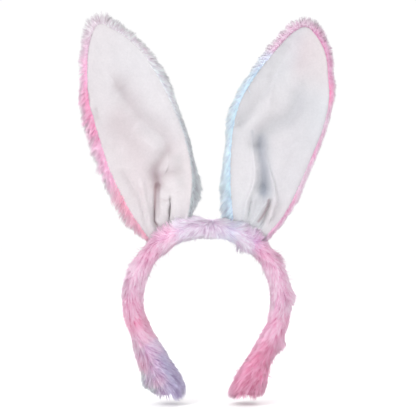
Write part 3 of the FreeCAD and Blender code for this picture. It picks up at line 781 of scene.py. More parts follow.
# ------------------------------------------------------------------ ears
class Ear:
    def __init__(self, d):
        self.d = d
        self.side, self.sign, self.u0, self.tip = d["side"], d["sign"], d["u0"], d["tip"]
        l = math.radians(d["lean"])
        self.e = np.array([math.sin(l), 0, math.cos(l)])
        self.u = np.array([math.cos(l), 0, -math.sin(l)])
        self.o = np.array([d["origin"][0], 0, d["origin"][1]])
        a = math.radians(d["root"])
        self.nrm = np.array([math.sin(a), 0, math.cos(a)])
        self.root = np.array([0, 0, ZC]) + self.nrm * ROOT_R
        s = np.array([r[0] for r in d["rows"]] + [self.tip], float)
        tau = np.sqrt(self.tip - s)
        self._tau = tau[::-1]
        self._l = np.array([r[1] for r in d["rows"]] + [0.0], float)[::-1]
        self._r = np.array([r[2] for r in d["rows"]] + [0.0], float)[::-1]
        self.axis_y = -(CUP_R + 0.6 + 2.45)

    def widths(self, s):
        tau = np.sqrt(np.maximum(self.tip - np.asarray(s, float), 0))
        return self._cubic(tau, self._l), self._cubic(tau, self._r)

    def _cubic(self, x, y):
        xs = self._tau
        m = np.gradient(y, xs)
        i = np.clip(np.searchsorted(xs, x) - 1, 0, len(xs) - 2)
        h = xs[i + 1] - xs[i]
        t = (x - xs[i]) / h
        return ((2 * t ** 3 - 3 * t ** 2 + 1) * y[i] + (t ** 3 - 2 * t ** 2 + t) * h * m[i]
                + (-2 * t ** 3 + 3 * t ** 2) * y[i + 1] + (t ** 3 - t ** 2) * h * m[i + 1])

    def place(self, uu, ss, yy):
        uu, ss, yy = np.broadcast_arrays(np.asarray(uu, float), np.asarray(ss, float), np.asarray(yy, float))
        p = self.o + uu[..., None] * self.u + ss[..., None] * self.e
        p = p.copy()
        p[..., 1] += yy
        return p

    def cup(self, uu, r):
        return self.axis_y + np.sqrt(np.maximum(r * r - (np.asarray(uu, float) - self.u0) ** 2, 1.0))

    def height(self, uu, ss):
        """Distance above the tilt line."""
        h0 = (self.o - self.root) @ self.nrm
        return h0 + np.asarray(uu) * (self.u @ self.nrm) + np.asarray(ss) * (self.e @ self.nrm)

    def floor_s(self, uu, h):
        """Where the foot ends: along the tilt line, drooping with the band to either side."""
        h0 = (self.o - self.root) @ self.nrm
        uu = np.asarray(uu, float)
        s = (h - h0 - uu * (self.u @ self.nrm)) / (self.e @ self.nrm)
        tng = np.array([self.nrm[2], 0, -self.nrm[0]])
        x = (self.o - self.root) @ tng + uu * (self.u @ tng) + s * (self.e @ tng)
        return s - np.minimum(x * x / 115.0, 4.5)

    def fractions(self, step, near=20.0, near_n=26):
        low = np.arange(0.0, self.tip - near, step)
        high = self.tip - near * (1 - np.linspace(0, 1, near_n)) ** 2
        return np.concatenate([low, high]) / self.tip

    def grid(self, nq, step, wide=0.0, h=0.6):
        """Columns fan from edge to edge; rows climb from the tilt line to the apex."""
        q = np.linspace(0, 1, nq)
        q = 0.5 - 0.5 * np.cos(np.pi * q) * 0.25 - 0.75 * (0.5 - q)
        f = self.fractions(step)
        s_bot = np.full(nq, 4.0)
        for _ in range(30):
            l, r = self.widths(s_bot)
            uu = (l - wide) * (1 - q) + (r + wide) * q
            s_bot = 0.5 * s_bot + 0.5 * self.floor_s(uu, h)
        S = s_bot[None, :] + (self.tip - s_bot[None, :]) * f[:, None]
        l, r = self.widths(S)
        U = l * (1 - q)[None, :] + r * q[None, :]
        return U, S, q

    def outline(self, n=260):
        s = self.tip * (1 - (1 - np.linspace(0, 1, n)) ** 2) - 6 * (1 - np.linspace(0, 1, n))
        l, r = self.widths(s)
        return np.concatenate([np.stack([l, s], -1), np.stack([r, s], -1)[::-1][1:]])

    def edge_distance(self, U, S):
        line = self.outline()
        return segment_distance(np.stack([U.ravel(), S.ravel()], -1), line)[0].reshape(U.shape)

    def pinch(self, p, at=0.0):
        """The foot of the ear is squeezed flat where it is sewn down."""
        h = (p - self.root) @ self.nrm
        k = np.interp(h, [0.0, 4.0, 9.0, 16.0, 26.0], [0.16, 0.42, 0.68, 0.90, 1.0])
        p = p.copy()
        p[..., 1] = at + (p[..., 1] - at) * k
        return p

    def fold_blend(self, ob):
        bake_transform(ob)


def segment_distance(pts, line):
    """Distance to a polyline, how far along it (0..1), and the side (+ left of travel)."""
    line = np.asarray(line, float)
    best = np.full(len(pts), 1e9)
    along, side = np.zeros(len(pts)), np.zeros(len(pts))
    seg = np.linalg.norm(np.diff(line, axis=0), axis=1)
    cum = np.concatenate([[0], np.cumsum(seg)])
    for i in range(len(line) - 1):
        a, d = line[i], line[i + 1] - line[i]
        if seg[i] < 1e-9:
            continue
        t = np.clip(((pts - a) @ d) / seg[i] ** 2, 0, 1)
        off = pts - (a + t[:, None] * d)
        dist = np.hypot(off[:, 0], off[:, 1])
        near = dist < best
        best[near] = dist[near]
        along[near] = ((cum[i] + t * seg[i]) / cum[-1])[near]
        side[near] = np.sign(d[0] * off[:, 1] - d[1] * off[:, 0])[near]
    return best, along, side


def smooth_line(pts, n=60):
    pts = np.asarray(pts, float)
    k = np.concatenate([[0], np.cumsum(np.linalg.norm(np.diff(pts, axis=0), axis=1))])
    t = np.linspace(0, k[-1], n)
    out = np.stack([np.interp(t, k, pts[:, i]) for i in range(pts.shape[1])], -1)
    for _ in range(max(2, n // 12)):
        out[1:-1] = 0.25 * out[:-2] + 0.5 * out[1:-1] + 0.25 * out[2:]
    return out


# creases of the two velour panels, in each ear's own (across, up) millimetres:
# line, depth at its start and end (positive goes in), half width left and right of travel
LEFT_FOLDS = [
    ([(-5, 134), (0.9, 114.3), (9.5, 100.9), (18.2, 87.3), (24.0, 76.5), (19.7, 65.6), (9.8, 57.5), (5.4, 52), (3.4, 47)], (1.6, 3.8), (10, 8)),
    ([(-2.5, 134), (1.5, 117)], (1.2, 1.0), (8, 8)),
    ([(-26, 125), (-28.0, 116)], (0.7, 0.7), (3.4, 3.4)),
    ([(-2, 96), (6, 84), (13, 73)], (-1.6, -2.4), (9, 7)),
    ([(15, 52), (24, 44)], (2.4, 1.8), (6, 6)),
    ([(0.8, 42), (-2.0, 34), (-4.6, 26), (-7.6, 18.6), (-11.0, 10.6), (-9.4, 6.0), (-8.0, -1.1)], (1.8, 6.6), (2.2, 2.6)),
    ([(10.4, 27.5), (6.4, 16.1), (2.3, 5.8)], (3.8, 5.0), (1.3, 2.0)),
    ([(-9.0, 50), (-11.4, 36), (-13.0, 20.5), (-14.2, 5.8), (-16.2, -3.1)], (-1.4, -3.6), (2.8, 3.4)),
    ([(-14.4, 48), (-16.8, 27.4), (-19.6, 5.0)], (0.8, 2.6), (3.0, 2.6)),
    ([(-23.1, 66), (-19.8, 51.3), (-18.0, 38.2)], (1.0, 1.8), (3.6, 3.6)),
    ([(1.5, 25), (4.3, 20.4), (9.0, 24)], (-1.4, -1.4), (2.2, 2.2)),
    ([(17, 30), (14.5, 18), (11, 4)], (-1.6, -2.4), (5.5, 4.0)),
    ([(27, 140), (33, 112), (34, 84), (30, 56)], (-0.8, -1.2), (7, 7)),
    ([(-22, 60), (-10, 84), (-16, 108)], (-0.8, -0.9), (9, 9)),
]
RIGHT_FOLDS = [
    ([(-9.5, 174), (-16.0, 148.3), (-20.6, 123.9), (-28.4, 101.7), (-34.8, 90)], (1.6, 2.6), (4.0, 8.0)),
    ([(8.5, 138), (9.2, 116.5), (3.5, 104.5), (-7.3, 97.5), (-13.8, 87.8), (-15.7, 76.9)], (2.2, 6.0), (8, 9)),
    ([(9.5, 84), (23.1, 71.8), (23.5, 53.2)], (-1.8, -1.6), (13, 13)),
    ([(-14.3, 80.1), (-12.4, 75.0), (-9.1, 66.6), (-3.8, 56.1), (-0.6, 47.0), (0.6, 40)], (2.4, 5.4), (5.4, 5.4)),
    ([(-23.4, 92), (-17.6, 70), (-10.4, 50.4), (-9.0, 37), (-11.5, 24), (-9.0, 7)], (-1.0, -3.4), (4.6, 2.0)),
    ([(-8.0, 82), (-5.6, 68), (1.0, 57), (8.4, 46), (14.5, 31.7), (14.4, 16)], (-1.4, -3.6), (1.9, 6.5)),
    ([(7.4, 31), (3.5, 18.8), (-0.6, 4)], (-2.6, -3.4), (2.4, 2.4)),
    ([(10.0, 33), (9.6, 20), (8.0, 5.8)], (2.6, 4.6), (1.6, 2.2)),
    ([(-7.4, 26), (-5.6, 14), (-4.1, 4)], (2.2, 3.2), (2.2, 1.2)),
    ([(16, 166), (14, 138), (20, 104), (24, 84)], (-1.2, -1.4), (13, 12)),
    ([(-23, 138), (-17, 122), (-13, 110)], (-1.3, -1.5), (6, 6)),
]


# colours of the painted shade in the velour's folds
COOL_SHADE, WARM_SHADE, BROWN_SHADE = (0.47, 0.53, 0.61), (0.56, 0.47, 0.49), (0.44, 0.24, 0.25)
GREY_SHADE = (0.50, 0.53, 0.56)
# painted shade down in the folds of the velour: line, strength from start to end, half width left and right, cast
LEFT_FOLD_SHADE = [
    ([(-8, 108), (-6, 72), (-10, 44)], (0.12, 0.12), (18, 20), (0.92, 0.60, 0.64)),
    ([(-3, 138), (0.0, 129.8), (3.5, 117.6), (7.9, 105.2), (14.4, 96.3), (19.8, 88.3), (23.3, 80.5), (24.0, 73.6), (22.3, 68.5)], (0.42, 0.26), (12, 5), WARM_SHADE),
    ([(-14, 104), (-6, 84), (-2, 62)], (0.28, 0.12), (17, 17), WARM_SHADE),
    ([(28, 56), (25, 34)], (0.26, 0.26), (8, 8), (0.56, 0.60, 0.60)),
    ([(22.3, 68.5), (17.8, 64.3), (11.7, 60.2), (6.3, 55.8), (3.8, 51.9), (3.6, 47.3), (3.3, 42)], (0.32, 0.84), (4.6, 6.5), WARM_SHADE),
    ([(5.8, 48.4), (10.5, 48.2), (16.1, 47.8), (24.3, 46.9)], (0.58, 0.22), (6, 6), WARM_SHADE),
    ([(2.1, 40.1), (7.8, 34.4), (14.3, 31.3)], (0.24, 0.05), (4, 3), WARM_SHADE),
    ([(2.0, 41.8), (-1.4, 33.8), (-4.2, 26), (-7.2, 18.5), (-10.2, 11.6), (-8.6, 7.0)], (0.50, 0.68), (1.3, 1.7), BROWN_SHADE),
    ([(4.2, 40), (0.8, 31), (-1.6, 24), (-4.0, 16)], (0.72, 0.42), (1.5, 5.0), WARM_SHADE),
    ([(10.2, 25.6), (7.9, 20.1), (5.3, 15.3), (2.5, 6.8)], (0.80, 0.95), (0.9, 1.3), (0.16, 0.13, 0.13)),
    ([(1.8, 27.9), (5.5, 24.8), (9.5, 25.3)], (0.22, 0.30), (1.4, 1.4), WARM_SHADE),
    ([(-22.9, 59.0), (-20.9, 53.6), (-20.1, 47.6), (-18.7, 34.8), (-21.7, 13.0)], (0.12, 0.02), (4.5, 4.5), WARM_SHADE),
    ([(-11.0, 40.7), (-12.7, 27.1), (-14.2, 11.4), (-16.5, -1.1)], (0.10, 0.08), (1.6, 2.4), WARM_SHADE),
    ([(-28.1, 122.5), (-28.7, 115.1)], (0.18, 0.24), (3, 3), WARM_SHADE),
    ([(-11.9, 6.9), (-7.4, 3.5), (1.2, 6.3)], (0.20, 0.20), (2.4, 2.4), WARM_SHADE),
]
RIGHT_FOLD_SHADE = [
    ([(-4, 176), (2, 158)], (0.16, 0.12), (12, 12), (0.88, 0.62, 0.74)),
    ([(-0.1, 158.8), (8.0, 149.8), (8.8, 133.2), (9.7, 116.6), (5.6, 104.3), (-3.6, 97.1), (-11.0, 90.4), (-14.3, 82.0), (-13.5, 75.7)], (0.10, 0.42), (10, 8), GREY_SHADE),
    ([(-10.8, 150.2), (-14.4, 136.1), (-18.5, 123.8), (-24.5, 111.8), (-31.4, 99.7), (-36.8, 88.8)], (0.10, 0.20), (4, 6), GREY_SHADE),
    ([(-14.3, 82), (-12.4, 75.0), (-9.1, 66.6), (-3.8, 56.1), (-0.3, 45.7), (1.3, 35.9)], (0.44, 0.74), (7.4, 4.6), COOL_SHADE),
    ([(-0.5, 40), (0.8, 31.9), (0.8, 22.5), (0.3, 13.1)], (0.38, 0.10), (7.0, 7.0), (0.50, 0.53, 0.56)),
    ([(-22.6, 86.2), (-19.4, 76.8), (-15.9, 68.0)], (0.34, 0.10), (1.0, 1.8), COOL_SHADE),
    ([(-8.1, 52.9), (-5.4, 44.3), (-7.3, 36.3), (-7.8, 25.9), (-4.9, 12.7), (-3.4, 6.5)], (0.14, 0.26), (1.0, 2.2), (0.42, 0.46, 0.46)),
    ([(8.2, 30.3), (8.5, 24.8), (7.8, 19.0), (6.4, 13.9), (4.5, 9.2)], (0.55, 0.60), (1.2, 1.4), BROWN_SHADE),
    ([(10.7, 25.4), (10.5, 17.9), (8.9, 11.8)], (0.16, 0.10), (2.6, 2.6), (0.72, 0.50, 0.50)),
    ([(16, 120), (18, 90), (17, 70), (20, 46), (15, 26)], (0.20, 0.18), (16, 16), (0.62, 0.58, 0.62)),
    ([(-2.9, 27.2), (-2.7, 19.8), (-2.9, 10.4)], (0.25, 0.25), (1.3, 1.6), (0.52, 0.50, 0.52)),
]


def painted_fold_shade(U, S, strokes):
    """Painted fold shade: a colour to multiply the velour by, at each point."""
    pts = np.stack([U.ravel(), S.ravel()], -1)
    out = np.ones((len(pts), 3))
    wob = 1.0 + 0.16 * N3(np.concatenate([pts, 0 * pts[:, :1]], 1), 8.0)
    for line, (k0, k1), (wl, wr), colour in strokes:
        dist, along, side = segment_distance(pts, smooth_line(line))
        x = dist / (np.where(side > 0, wl, wr) * wob)
        k = (k0 + (k1 - k0) * along) * np.exp(-x ** 2 * 1.2)
        k = k * np.where(along <= 0.0, np.exp(-(dist / (1.2 * max(wl, wr))) ** 2), 1.0)
        out *= 1 - k[:, None] * (1 - np.array(colour)[None, :])
    return out


def crease(U, S, folds):
    """Depth of the cloth below its smooth surface, in millimetres, and how shaded the fold is."""
    pts = np.stack([U.ravel(), S.ravel()], -1)
    depth, dark = np.zeros(len(pts)), np.zeros(len(pts))
    for line, (d0, d1), (wl, wr) in folds:
        dist, along, side = segment_distance(pts, smooth_line(line))
        w = np.where(side > 0, wl, wr)
        x = dist / w
        prof = np.exp(-x ** 2 * 1.6)
        ends = smooth(along / 0.12) if abs(d0) > 0 else along
        amount = d0 + (d1 - d0) * along
        fade = np.where(along <= 0.0, np.exp(-(dist / 3.0) ** 2), 1.0)
        depth += amount * prof * fade * (0.25 + 0.75 * ends)
        if d1 > 0:
            narrow = max(wl, wr) < 5
            tone = min(1.0, d1 / 4.6) * (1.0 if narrow else 0.26)
            dark = np.maximum(dark, np.exp(-(x * (1.9 if narrow else 1.1)) ** 2) * smooth(along / 0.2 + 0.15) * tone * fade)
    return depth.reshape(U.shape), dark.reshape(U.shape)


def build_panel(ear, folds):
    """White velour front: a cupped sheet whose edge rolls back under the pile, creased at the foot."""
    U, S, q = ear.grid(118, 0.78)
    dist = ear.edge_distance(U, S)
    y = ear.cup(U, CUP_R)
    depth, dark = crease(U, S, folds)
    inner = smooth(dist / 6.0)
    depth = depth * (0.15 + 0.85 * inner)
    flat = ear.place(U, S, 0 * U).reshape(-1, 3)
    wave = 0.55 * fractal(N3, flat * [1, 1, 0.6], 34.0, 3).reshape(U.shape)
    fine = 0.07 * fractal(N4, flat, 6.0, 2).reshape(U.shape)
    foot = np.exp(-np.maximum(S, 0) / 26.0)
    wave += foot * 0.5 * N1(flat * [1.0, 1.0, 0.25], 5.0).reshape(U.shape)
    edge_roll = 0.35 * np.clip(1 - dist / 2.0, 0, 1) ** 2
    belly = -0.7 * smooth(dist / 30.0)
    y = y + depth + (wave + fine) * inner + edge_roll + belly
    # the dart's own stitches lie under the cloth
    pins = np.array([v.co[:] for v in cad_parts[ear.side + "_ear_dart_stitches"].data.vertices]) / MM
    pins = pins + np.array(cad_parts[ear.side + "_ear_dart_stitches"].matrix_world.translation) / MM
    pu, ps = (pins - ear.o) @ ear.u, (pins - ear.o) @ ear.e
    cover = np.full(U.size, 1e9)
    fu, fs = U.ravel(), S.ravel()
    for a, b, c in zip(pu, ps, pins[:, 1]):
        gap = np.hypot(fu - a, fs - b)
        cover = np.minimum(cover, c - 0.25 + 0.16 * np.maximum(gap - 0.8, 0) ** 1.5)
    squeeze = np.interp(ear.height(U, S), [0.0, 4.0, 9.0, 16.0, 26.0], [0.16, 0.42, 0.68, 0.90, 1.0])
    lid = (cover.reshape(U.shape) + 0.6) / squeeze - 0.6
    y = np.minimum(y, lid)
    p = ear.place(U, S, y)
    p = ear.pinch(p, at=-0.6)
    rows, cols = U.shape
    verts = p.reshape(-1, 3)
    i, j = np.arange(rows - 1)[:, None], np.arange(cols - 1)[None, :]
    quads = np.stack([i * cols + j, i * cols + j + 1, (i + 1) * cols + j + 1, (i + 1) * cols + j], -1).reshape(-1, 4)
    ob = make_mesh(ear.side + "_ear_velour_panel", verts, [quads], M_VELOUR)
    rest_attr(ob, verts)
    # painted shade in the folds, stored in the 'deep' attribute
    put_attr(ob, "deep", "FLOAT_COLOR", painted_fold_shade(U, S, LEFT_FOLD_SHADE if ear.sign < 0 else RIGHT_FOLD_SHADE))
    if ear.sign < 0:
        cast = 0.72 + 0.35 * N2(flat, 55.0)
    else:
        cast = 0.22 + 0.25 * N2(flat, 55.0) + 0.55 * smooth((S.ravel() - 125) / 30) * smooth((U.ravel() + 8) / 14) + 0.5 * smooth((U.ravel() - 6) / 8) * smooth((50 - S.ravel()) / 40)
    put_attr(ob, "cast", "FLOAT", np.clip(cast, 0, 1))
    tidy(ob)
    thicken(ob, 0.9, offset=-1.0)
    return ob


# how far the fringe stands out from the velour's edge, up each side (height, left edge, right edge), in millimetres
FRINGE = {
    "left": [(0, 3.6, 2.4), (12, 5.4, 3.6), (22, 9.4, 5.9), (30, 10.2, 6.6), (40, 9.5, 5.6), (52, 8.8, 2.8), (64, 7.6, 1.9),
             (76, 9.0, 2.6), (88, 9.4, 3.4), (100, 10.4, 3.8), (112, 10.8, 4.4), (124, 8.8, 5.6), (136, 7.2, 6.4), (148, 5.6, 5.8),
             (160, 6.4, 6.2), (170, 7.2, 6.6), (180, 7.0, 7.0), (186, 8.2, 8.0), (191, 9.6, 9.5), (196, 11.0, 12.0)],
    "right": [(0, 8.0, 2.0), (12, 9.0, 2.4), (20, 8.4, 3.0), (30, 7.8, 3.3), (40, 7.0, 4.4), (52, 5.4, 4.2), (64, 4.6, 3.4),
              (76, 4.2, 3.3), (88, 5.0, 3.4), (100, 5.5, 2.8), (112, 5.0, 2.3), (124, 4.9, 2.6), (136, 4.5, 4.0), (148, 4.9, 5.6),
              (160, 6.2, 4.6), (170, 6.8, 5.6), (180, 6.6, 6.2), (187, 7.6, 7.4), (192, 9.0, 9.0)]}


def fringe(ear, P):
    t = np.array(FRINGE[ear.side])
    l, r = np.interp(P[:, 1], t[:, 0], t[:, 1]), np.interp(P[:, 1], t[:, 0], t[:, 2])
    k = smooth((P[:, 0] + 6) / 12)
    return l * (1 - k) + r * k


# the rim's section: how far outside the velour's edge, and where in depth
RIM = [(-0.9, -2.85), (0.1, -3.60), (1.5, -3.8), (2.6, -3.1), (3.15, -1.7), (3.25, 0.2), (2.8, 1.8), (1.9, 2.9), (0.8, 3.45)]


def rim_lines(ear, step=1.3, h=0.6):
    f = ear.fractions(step, near_n=16)
    out = []
    for which in (0, 1):
        s_bot = 4.0
        for _ in range(40):
            w = ear.widths(np.array([s_bot]))[which][0]
            s_bot = 0.5 * s_bot + 0.5 * float(ear.floor_s(w, h))
        s = s_bot + (ear.tip - s_bot) * f
        out.append(np.stack([ear.widths(s)[which], s], -1))
    line = np.concatenate([out[0], out[1][::-1][1:]])
    t = np.gradient(line, axis=0)
    t = t / np.maximum(np.linalg.norm(t, axis=1, keepdims=True), 1e-9)
    nrm = np.stack([-t[:, 1], t[:, 0]], -1)
    return line, nrm, t


def build_back(ear):
    """Plush back: a skin that rolls round the rim and over the back."""
    line, nrm, t = rim_lines(ear)
    rings = []
    plump = np.clip(fringe(ear, line) / 6.5, 0.62, 1.1)
    for off, dy in RIM:
        q = line + nrm * (off * plump)[:, None]
        y = ear.cup(line[:, 0], CUP_R + 3.5) + dy - 0.4
        rings.append(ear.place(q[:, 0], q[:, 1], y))
    half = (len(line) + 1) // 2
    left, right = line[:half], line[half - 1:][::-1]
    nc = 46
    w = np.linspace(0, 1, nc)
    U = left[:, None, 0] * (1 - w) + right[:, None, 0] * w
    S = left[:, None, 1] * (1 - w) + right[:, None, 1] * w
    puff = 0.8 * np.sin(np.pi * w)[None, :] + 0.0 * U
    y = ear.cup(U, CUP_R + 6.7) - 0.1 + puff
    flat = ear.place(U, S, y)
    y = y + 0.5 * fractal(N2, flat.reshape(-1, 3), 30.0, 2).reshape(U.shape)
    grid = ear.place(U, S, y)
    parts = [ear.pinch(r) for r in rings] + [ear.pinch(grid).reshape(-1, 3)]
    verts = np.concatenate(parts)
    n = len(line)
    quads = []
    for k in range(len(rings) - 1):
        j = np.arange(n - 1)
        a, b = k * n, (k + 1) * n
        quads.append(np.stack([a + j, a + j + 1, b + j + 1, b + j], -1))
    base = len(rings) * n
    border = np.concatenate([base + np.arange(half) * nc, (base + np.arange(half) * nc + nc - 1)[::-1][1:]])
    a = (len(rings) - 1) * n
    j = np.arange(n - 1)
    quads.append(np.stack([a + j, a + j + 1, border[j + 1], border[j]], -1))
    i, j = np.arange(half - 1)[:, None], np.arange(nc - 1)[None, :]
    quads.append(base + np.stack([i * nc + j, (i + 1) * nc + j, (i + 1) * nc + j + 1, i * nc + j + 1], -1).reshape(-1, 4))
    ob = make_mesh(ear.side + "_ear_plush_back", verts, [np.concatenate(quads)], M_GROUND)
    put_attr(ob, "tint", "FLOAT_COLOR", dye(verts, LEFT_DYE if ear.sign < 0 else RIGHT_DYE))
    rest_attr(ob, verts)
    tidy(ob)
    thicken(ob, 0.7, offset=-1.0)
    return ob


def ear_fur(ear):
    """A fringe on the rolled rim and a coat over the back."""
    rng = np.random.default_rng(300 + ear.sign)
    table = LEFT_DYE if ear.sign < 0 else RIGHT_DYE
    line, nrm, t = rim_lines(ear)
    seg = np.linalg.norm(np.diff(line, axis=0), axis=1)
    cum = np.concatenate([[0], np.cumsum(seg)])
    made = []
    # fringe
    n = 12200
    k = rng.uniform(0, cum[-1], n)
    def at(arr):
        return np.stack([np.interp(k, cum, arr[:, i]) for i in range(2)], -1)
    P, N = at(line), at(nrm)
    N /= np.linalg.norm(N, axis=1, keepdims=True)
    m = np.where(rng.uniform(0, 1, n) < 0.20, rng.uniform(0, 0.16, n), rng.beta(1.15, 1.3, n)) * (len(RIM) - 1)
    rim = np.array(RIM)
    off, dy = np.interp(m, np.arange(len(RIM)), rim[:, 0]), np.interp(m, np.arange(len(RIM)), rim[:, 1])
    wide = fringe(ear, P)
    off = off * np.clip(wide / 6.5, 0.62, 1.1)
    Q = P + N * (off - 0.25)[:, None]
    y = ear.cup(P[:, 0], CUP_R + 3.5) + dy - 0.4
    roots = ear.pinch(ear.place(Q[:, 0], Q[:, 1], y))
    ang = (m / (len(RIM) - 1)) * math.pi * 0.98
    outw = N[:, :1] * ear.u + N[:, 1:] * ear.e
    normals = unit(outw * np.sin(ang)[:, None] + np.array([0, -1.0, 0])[None, :] * np.cos(ang)[:, None])
    # the pile fans out at the apex and lies down along the edge lower on
    T = np.stack([-N[:, 1], N[:, 0]], -1)
    T *= np.sign(T[:, 1:] + 1e-6)
    up = T[:, :1] * ear.u + T[:, 1:] * ear.e
    flow = -1.25 * smooth((ear.tip - 8 - P[:, 1:]) / 62)
    swirl = 0.55 * N3(roots, 8.0)[:, None] + 0.25 * N4(roots, 3.0)[:, None]
    out_share = np.clip(wide / 8.5, 0.30, 1.1)[:, None]
    comb = unit(outw * out_share + up * (flow * (1.25 - out_share * 0.35) + swirl) + np.array([0, 0.05, 0])[None, :])
    reach = np.abs((comb * outw).sum(1))
    length = np.clip((wide - 1.7) / np.clip(reach, 0.42, 1.0) * 0.98, 4.0, 12.5) * (1 + 0.24 * N1(roots, 4.0) + 0.16 * N3(roots, 6.0))
    # short fibres lean in over the seam
    lean_in = (rng.uniform(0, 1, n) < 0.65) & (m < 1.3)
    comb[lean_in] = unit(comb[lean_in] * 0.45 - outw[lean_in] * rng.uniform(0.0, 0.55, lean_in.sum())[:, None] + np.array([0, -0.35, 0]))
    length[lean_in] = rng.uniform(1.8, 3.2, lean_in.sum())
    width = rng.uniform(0.18, 0.28, n)
    tint = dye(roots, table)
    deep = smooth((2.6 - m) / 2.2)[:, None]
    pale = smooth((m - 2.2) / 3.0)[:, None]
    tint = tint ** (1 + 0.55 * deep)
    pink = np.clip((tint[:, :1] - tint[:, 1:2]) / 0.30, 0.30, 1.0)
    tint = tint * (1 - 0.64 * pink * pale) + tint.max(1, keepdims=True) * np.array([0.99, 0.93, 0.96]) * 0.64 * pink * pale
    made.append(fur(ear.side + "_ear_pile_rim", roots, normals, comb, length, width, 310 + ear.sign, tint,
                    lift=(0.34, 0.06), clump=2.6, pull=0.76, curl=0.42, streak=0.6))
    # back coat
    n = 18500
    s = rng.uniform(2.0, ear.tip - 0.5, n * 2)
    l, r = ear.widths(s)
    keep = rng.uniform(0, 85, n * 2) < (r - l)
    s, l, r = s[keep][:n], l[keep][:n], r[keep][:n]
    n = len(s)
    w = rng.uniform(0, 1, n)
    uu = l * (1 - w) + r * w
    ok = ear.height(uu, s) > 1.0
    uu, s, w = uu[ok], s[ok], w[ok]
    n = len(s)
    y = ear.cup(uu, CUP_R + 6.7) - 0.35 + 0.8 * np.sin(np.pi * w)
    flat = ear.place(uu, s, y)
    flat[:, 1] += 0.5 * fractal(N2, flat, 30.0, 2)
    roots = ear.pinch(flat)
    side_push = (w - 0.5) * 0.9
    swirl = 0.6 * N3(roots + 9, 22.0)
    comb = unit(ear.e[None, :] + ear.u[None, :] * (side_push + swirl)[:, None])
    normals = np.tile((0.0, 1.0, 0.0), (n, 1)) + ear.u[None, :] * ((uu - ear.u0) / CUP_R)[:, None]
    length = 7.5 + 1.4 * N1(roots, 9.0)
    width = rng.uniform(0.20, 0.32, n)
    made.append(fur(ear.side + "_ear_pile_back", roots, unit(normals), comb, length, width, 320 + ear.sign, dye(roots, table),
                    lift=(0.50, 0.14), clump=2.8, pull=0.72, rings=2))
    return made


def capsule_run(points, tangents, length, radius, sides=6):
    parts = []
    for p, t in zip(points, tangents):
        k = np.linspace(-0.5, 0.5, 5)
        r = radius * np.array([0.55, 1.0, 1.0, 1.0, 0.55])
        parts.append(tube_mesh(p + np.outer(k * length, t), r, sides))
    return join_parts(parts)


def build_stitches(ear):
    """Short stitches that join velour to plush all round, tucked under the pile."""
    line, nrm, t = rim_lines(ear)
    seg = np.linalg.norm(np.diff(line, axis=0), axis=1)
    cum = np.concatenate([[0], np.cumsum(seg)])
    k = np.arange(2.0, cum[-1] - 1, 2.9)
    P = np.stack([np.interp(k, cum, line[:, i]) for i in range(2)], -1)
    N = np.stack([np.interp(k, cum, nrm[:, i]) for i in range(2)], -1)
    T = np.stack([N[:, 1], -N[:, 0]], -1)
    Q = P + N * 0.25
    y = ear.cup(P[:, 0], CUP_R) + 0.1
    pts = ear.pinch(ear.place(Q[:, 0], Q[:, 1], y), at=-0.6)
    tt = unit(T[:, :1] * ear.u + T[:, 1:] * ear.e)
    v, f = capsule_run(pts, tt, 2.1, 0.32)
    ob = make_mesh(ear.side + "_ear_edge_stitches", v, f, M_WHITE_THREAD)
    return ob


def build_wire(ear):
    """Soft wire loop between the panels, from one foot up over the apex to the other."""
    line, nrm, t = rim_lines(ear, step=2.0)
    q = line - nrm * 3.6
    keep = (q[:, 1] > 11.0)
    q = q[keep]
    path = ear.place(q[:, 0], q[:, 1], ear.cup(q[:, 0], CUP_R + 2.4))
    v, f = tube_mesh(path, 0.8, 10)
    ob = make_mesh(ear.side + "_ear_wire_loop", v, f, M_WIRE)
    tidy(ob)
    return ob


for ear, folds in ((Ear(LEFT), LEFT_FOLDS), (Ear(RIGHT), RIGHT_FOLDS)):
    s = ear.side
    panel = build_panel(ear, folds)
    ear.fold_blend(panel)
    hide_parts(s + "_ear_front_lower", s + "_ear_front_tip")
    back = build_back(ear)
    ear.fold_blend(back)
    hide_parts(s + "_ear_back_lower", s + "_ear_back_tip")
    for ob in ear_fur(ear):
        ear.fold_blend(ob)
    st = build_stitches(ear)
    ear.fold_blend(st)
    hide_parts(s + "_ear_edge_seam_lower", s + "_ear_edge_seam_tip")
    wire = build_wire(ear)
    ear.fold_blend(wire)
    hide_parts(s + "_ear_wire_lower", s + "_ear_wire_tip")

# ------------------------------------------------------------------ carried-over parts
for name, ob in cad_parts.items():
    if name.startswith("band_core"):
        mat = M_BAND
    elif name.endswith("wire_feet"):
        mat = M_WIRE
    elif name.endswith("foot_wrap"):
        mat = M_TAPE
    else:
        mat = M_THREAD
    ob.data.materials.clear()
    ob.data.materials.append(mat)

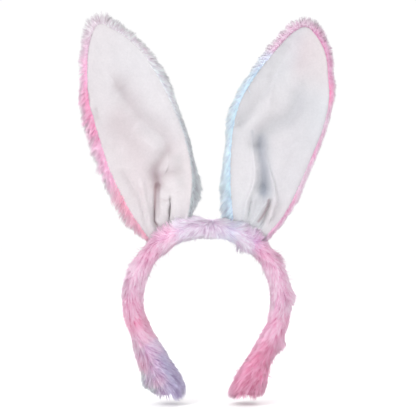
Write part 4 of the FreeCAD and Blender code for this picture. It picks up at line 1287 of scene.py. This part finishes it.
# ------------------------------------------------------------------ floor, light, camera
def plain(name, colour, rough):
    mat = bpy.data.materials.new(name)
    nt, bsdf = nodes_of(mat)
    bsdf.inputs["Base Color"].default_value = (*colour, 1)
    bsdf.inputs["Roughness"].default_value = rough
    return mat


low = min(v[2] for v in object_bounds())
floor_z = low - 0.0005
verts = [(-4.0, -4.0, floor_z), (4.0, -4.0, floor_z), (4.0, 4.0, floor_z), (-4.0, 4.0, floor_z)]
quads = [(0, 1, 2, 3)]
me = bpy.data.meshes.new("floor")
me.from_pydata(verts, [], quads)
floor = bpy.data.objects.new("floor", me)
me.materials.append(plain("paper", (0.985, 0.985, 0.985), 0.9))
scene.collection.objects.link(floor)
floor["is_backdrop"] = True

world = bpy.data.worlds.new("studio")
scene.world = world
world.use_nodes = True
world.node_tree.nodes["Background"].inputs[0].default_value = (1, 1, 1, 1)
world.node_tree.nodes["Background"].inputs[1].default_value = 1.02


def lamp(name, place, target, size, watts, colour=(1, 1, 1), spread=180):
    data = bpy.data.lights.new(name, "AREA")
    data.shape = "RECTANGLE"
    data.size, data.size_y = size
    data.energy = watts
    data.color = colour
    data.spread = math.radians(spread)
    ob = bpy.data.objects.new(name, data)
    ob.location = place
    ob.rotation_euler = (Vector(target) - Vector(place)).to_track_quat("-Z", "Y").to_euler()
    scene.collection.objects.link(ob)
    ob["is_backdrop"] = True


lamp("key", (-1.05, -0.85, 0.85), (0, 0, 0.02), (0.8, 0.8), 12.5)
lamp("fill", (0.9, -1.1, 0.3), (0, 0, 0.02), (1.0, 1.0), 3.7)
lamp("back", (0.5, 1.3, 0.7), (0, 0, 0.05), (1.0, 1.0), 5.0)
lamp("low_fill", (0.38, -0.90, -0.26), (0.0, 0.0, -0.095), (0.30, 0.30), 0.23, spread=20)

cam = bpy.data.cameras.new("camera")
cam.lens, cam.sensor_width = 100.0, 36.0
cam.clip_start, cam.clip_end = 0.05, 20
camera = bpy.data.objects.new("camera", cam)
camera.location = (0.0009, -1.043, 0.0241)
camera.rotation_euler = (math.pi / 2, 0, 0)
scene.collection.objects.link(camera)
scene.camera = camera
scene.view_settings.view_transform = "Standard"
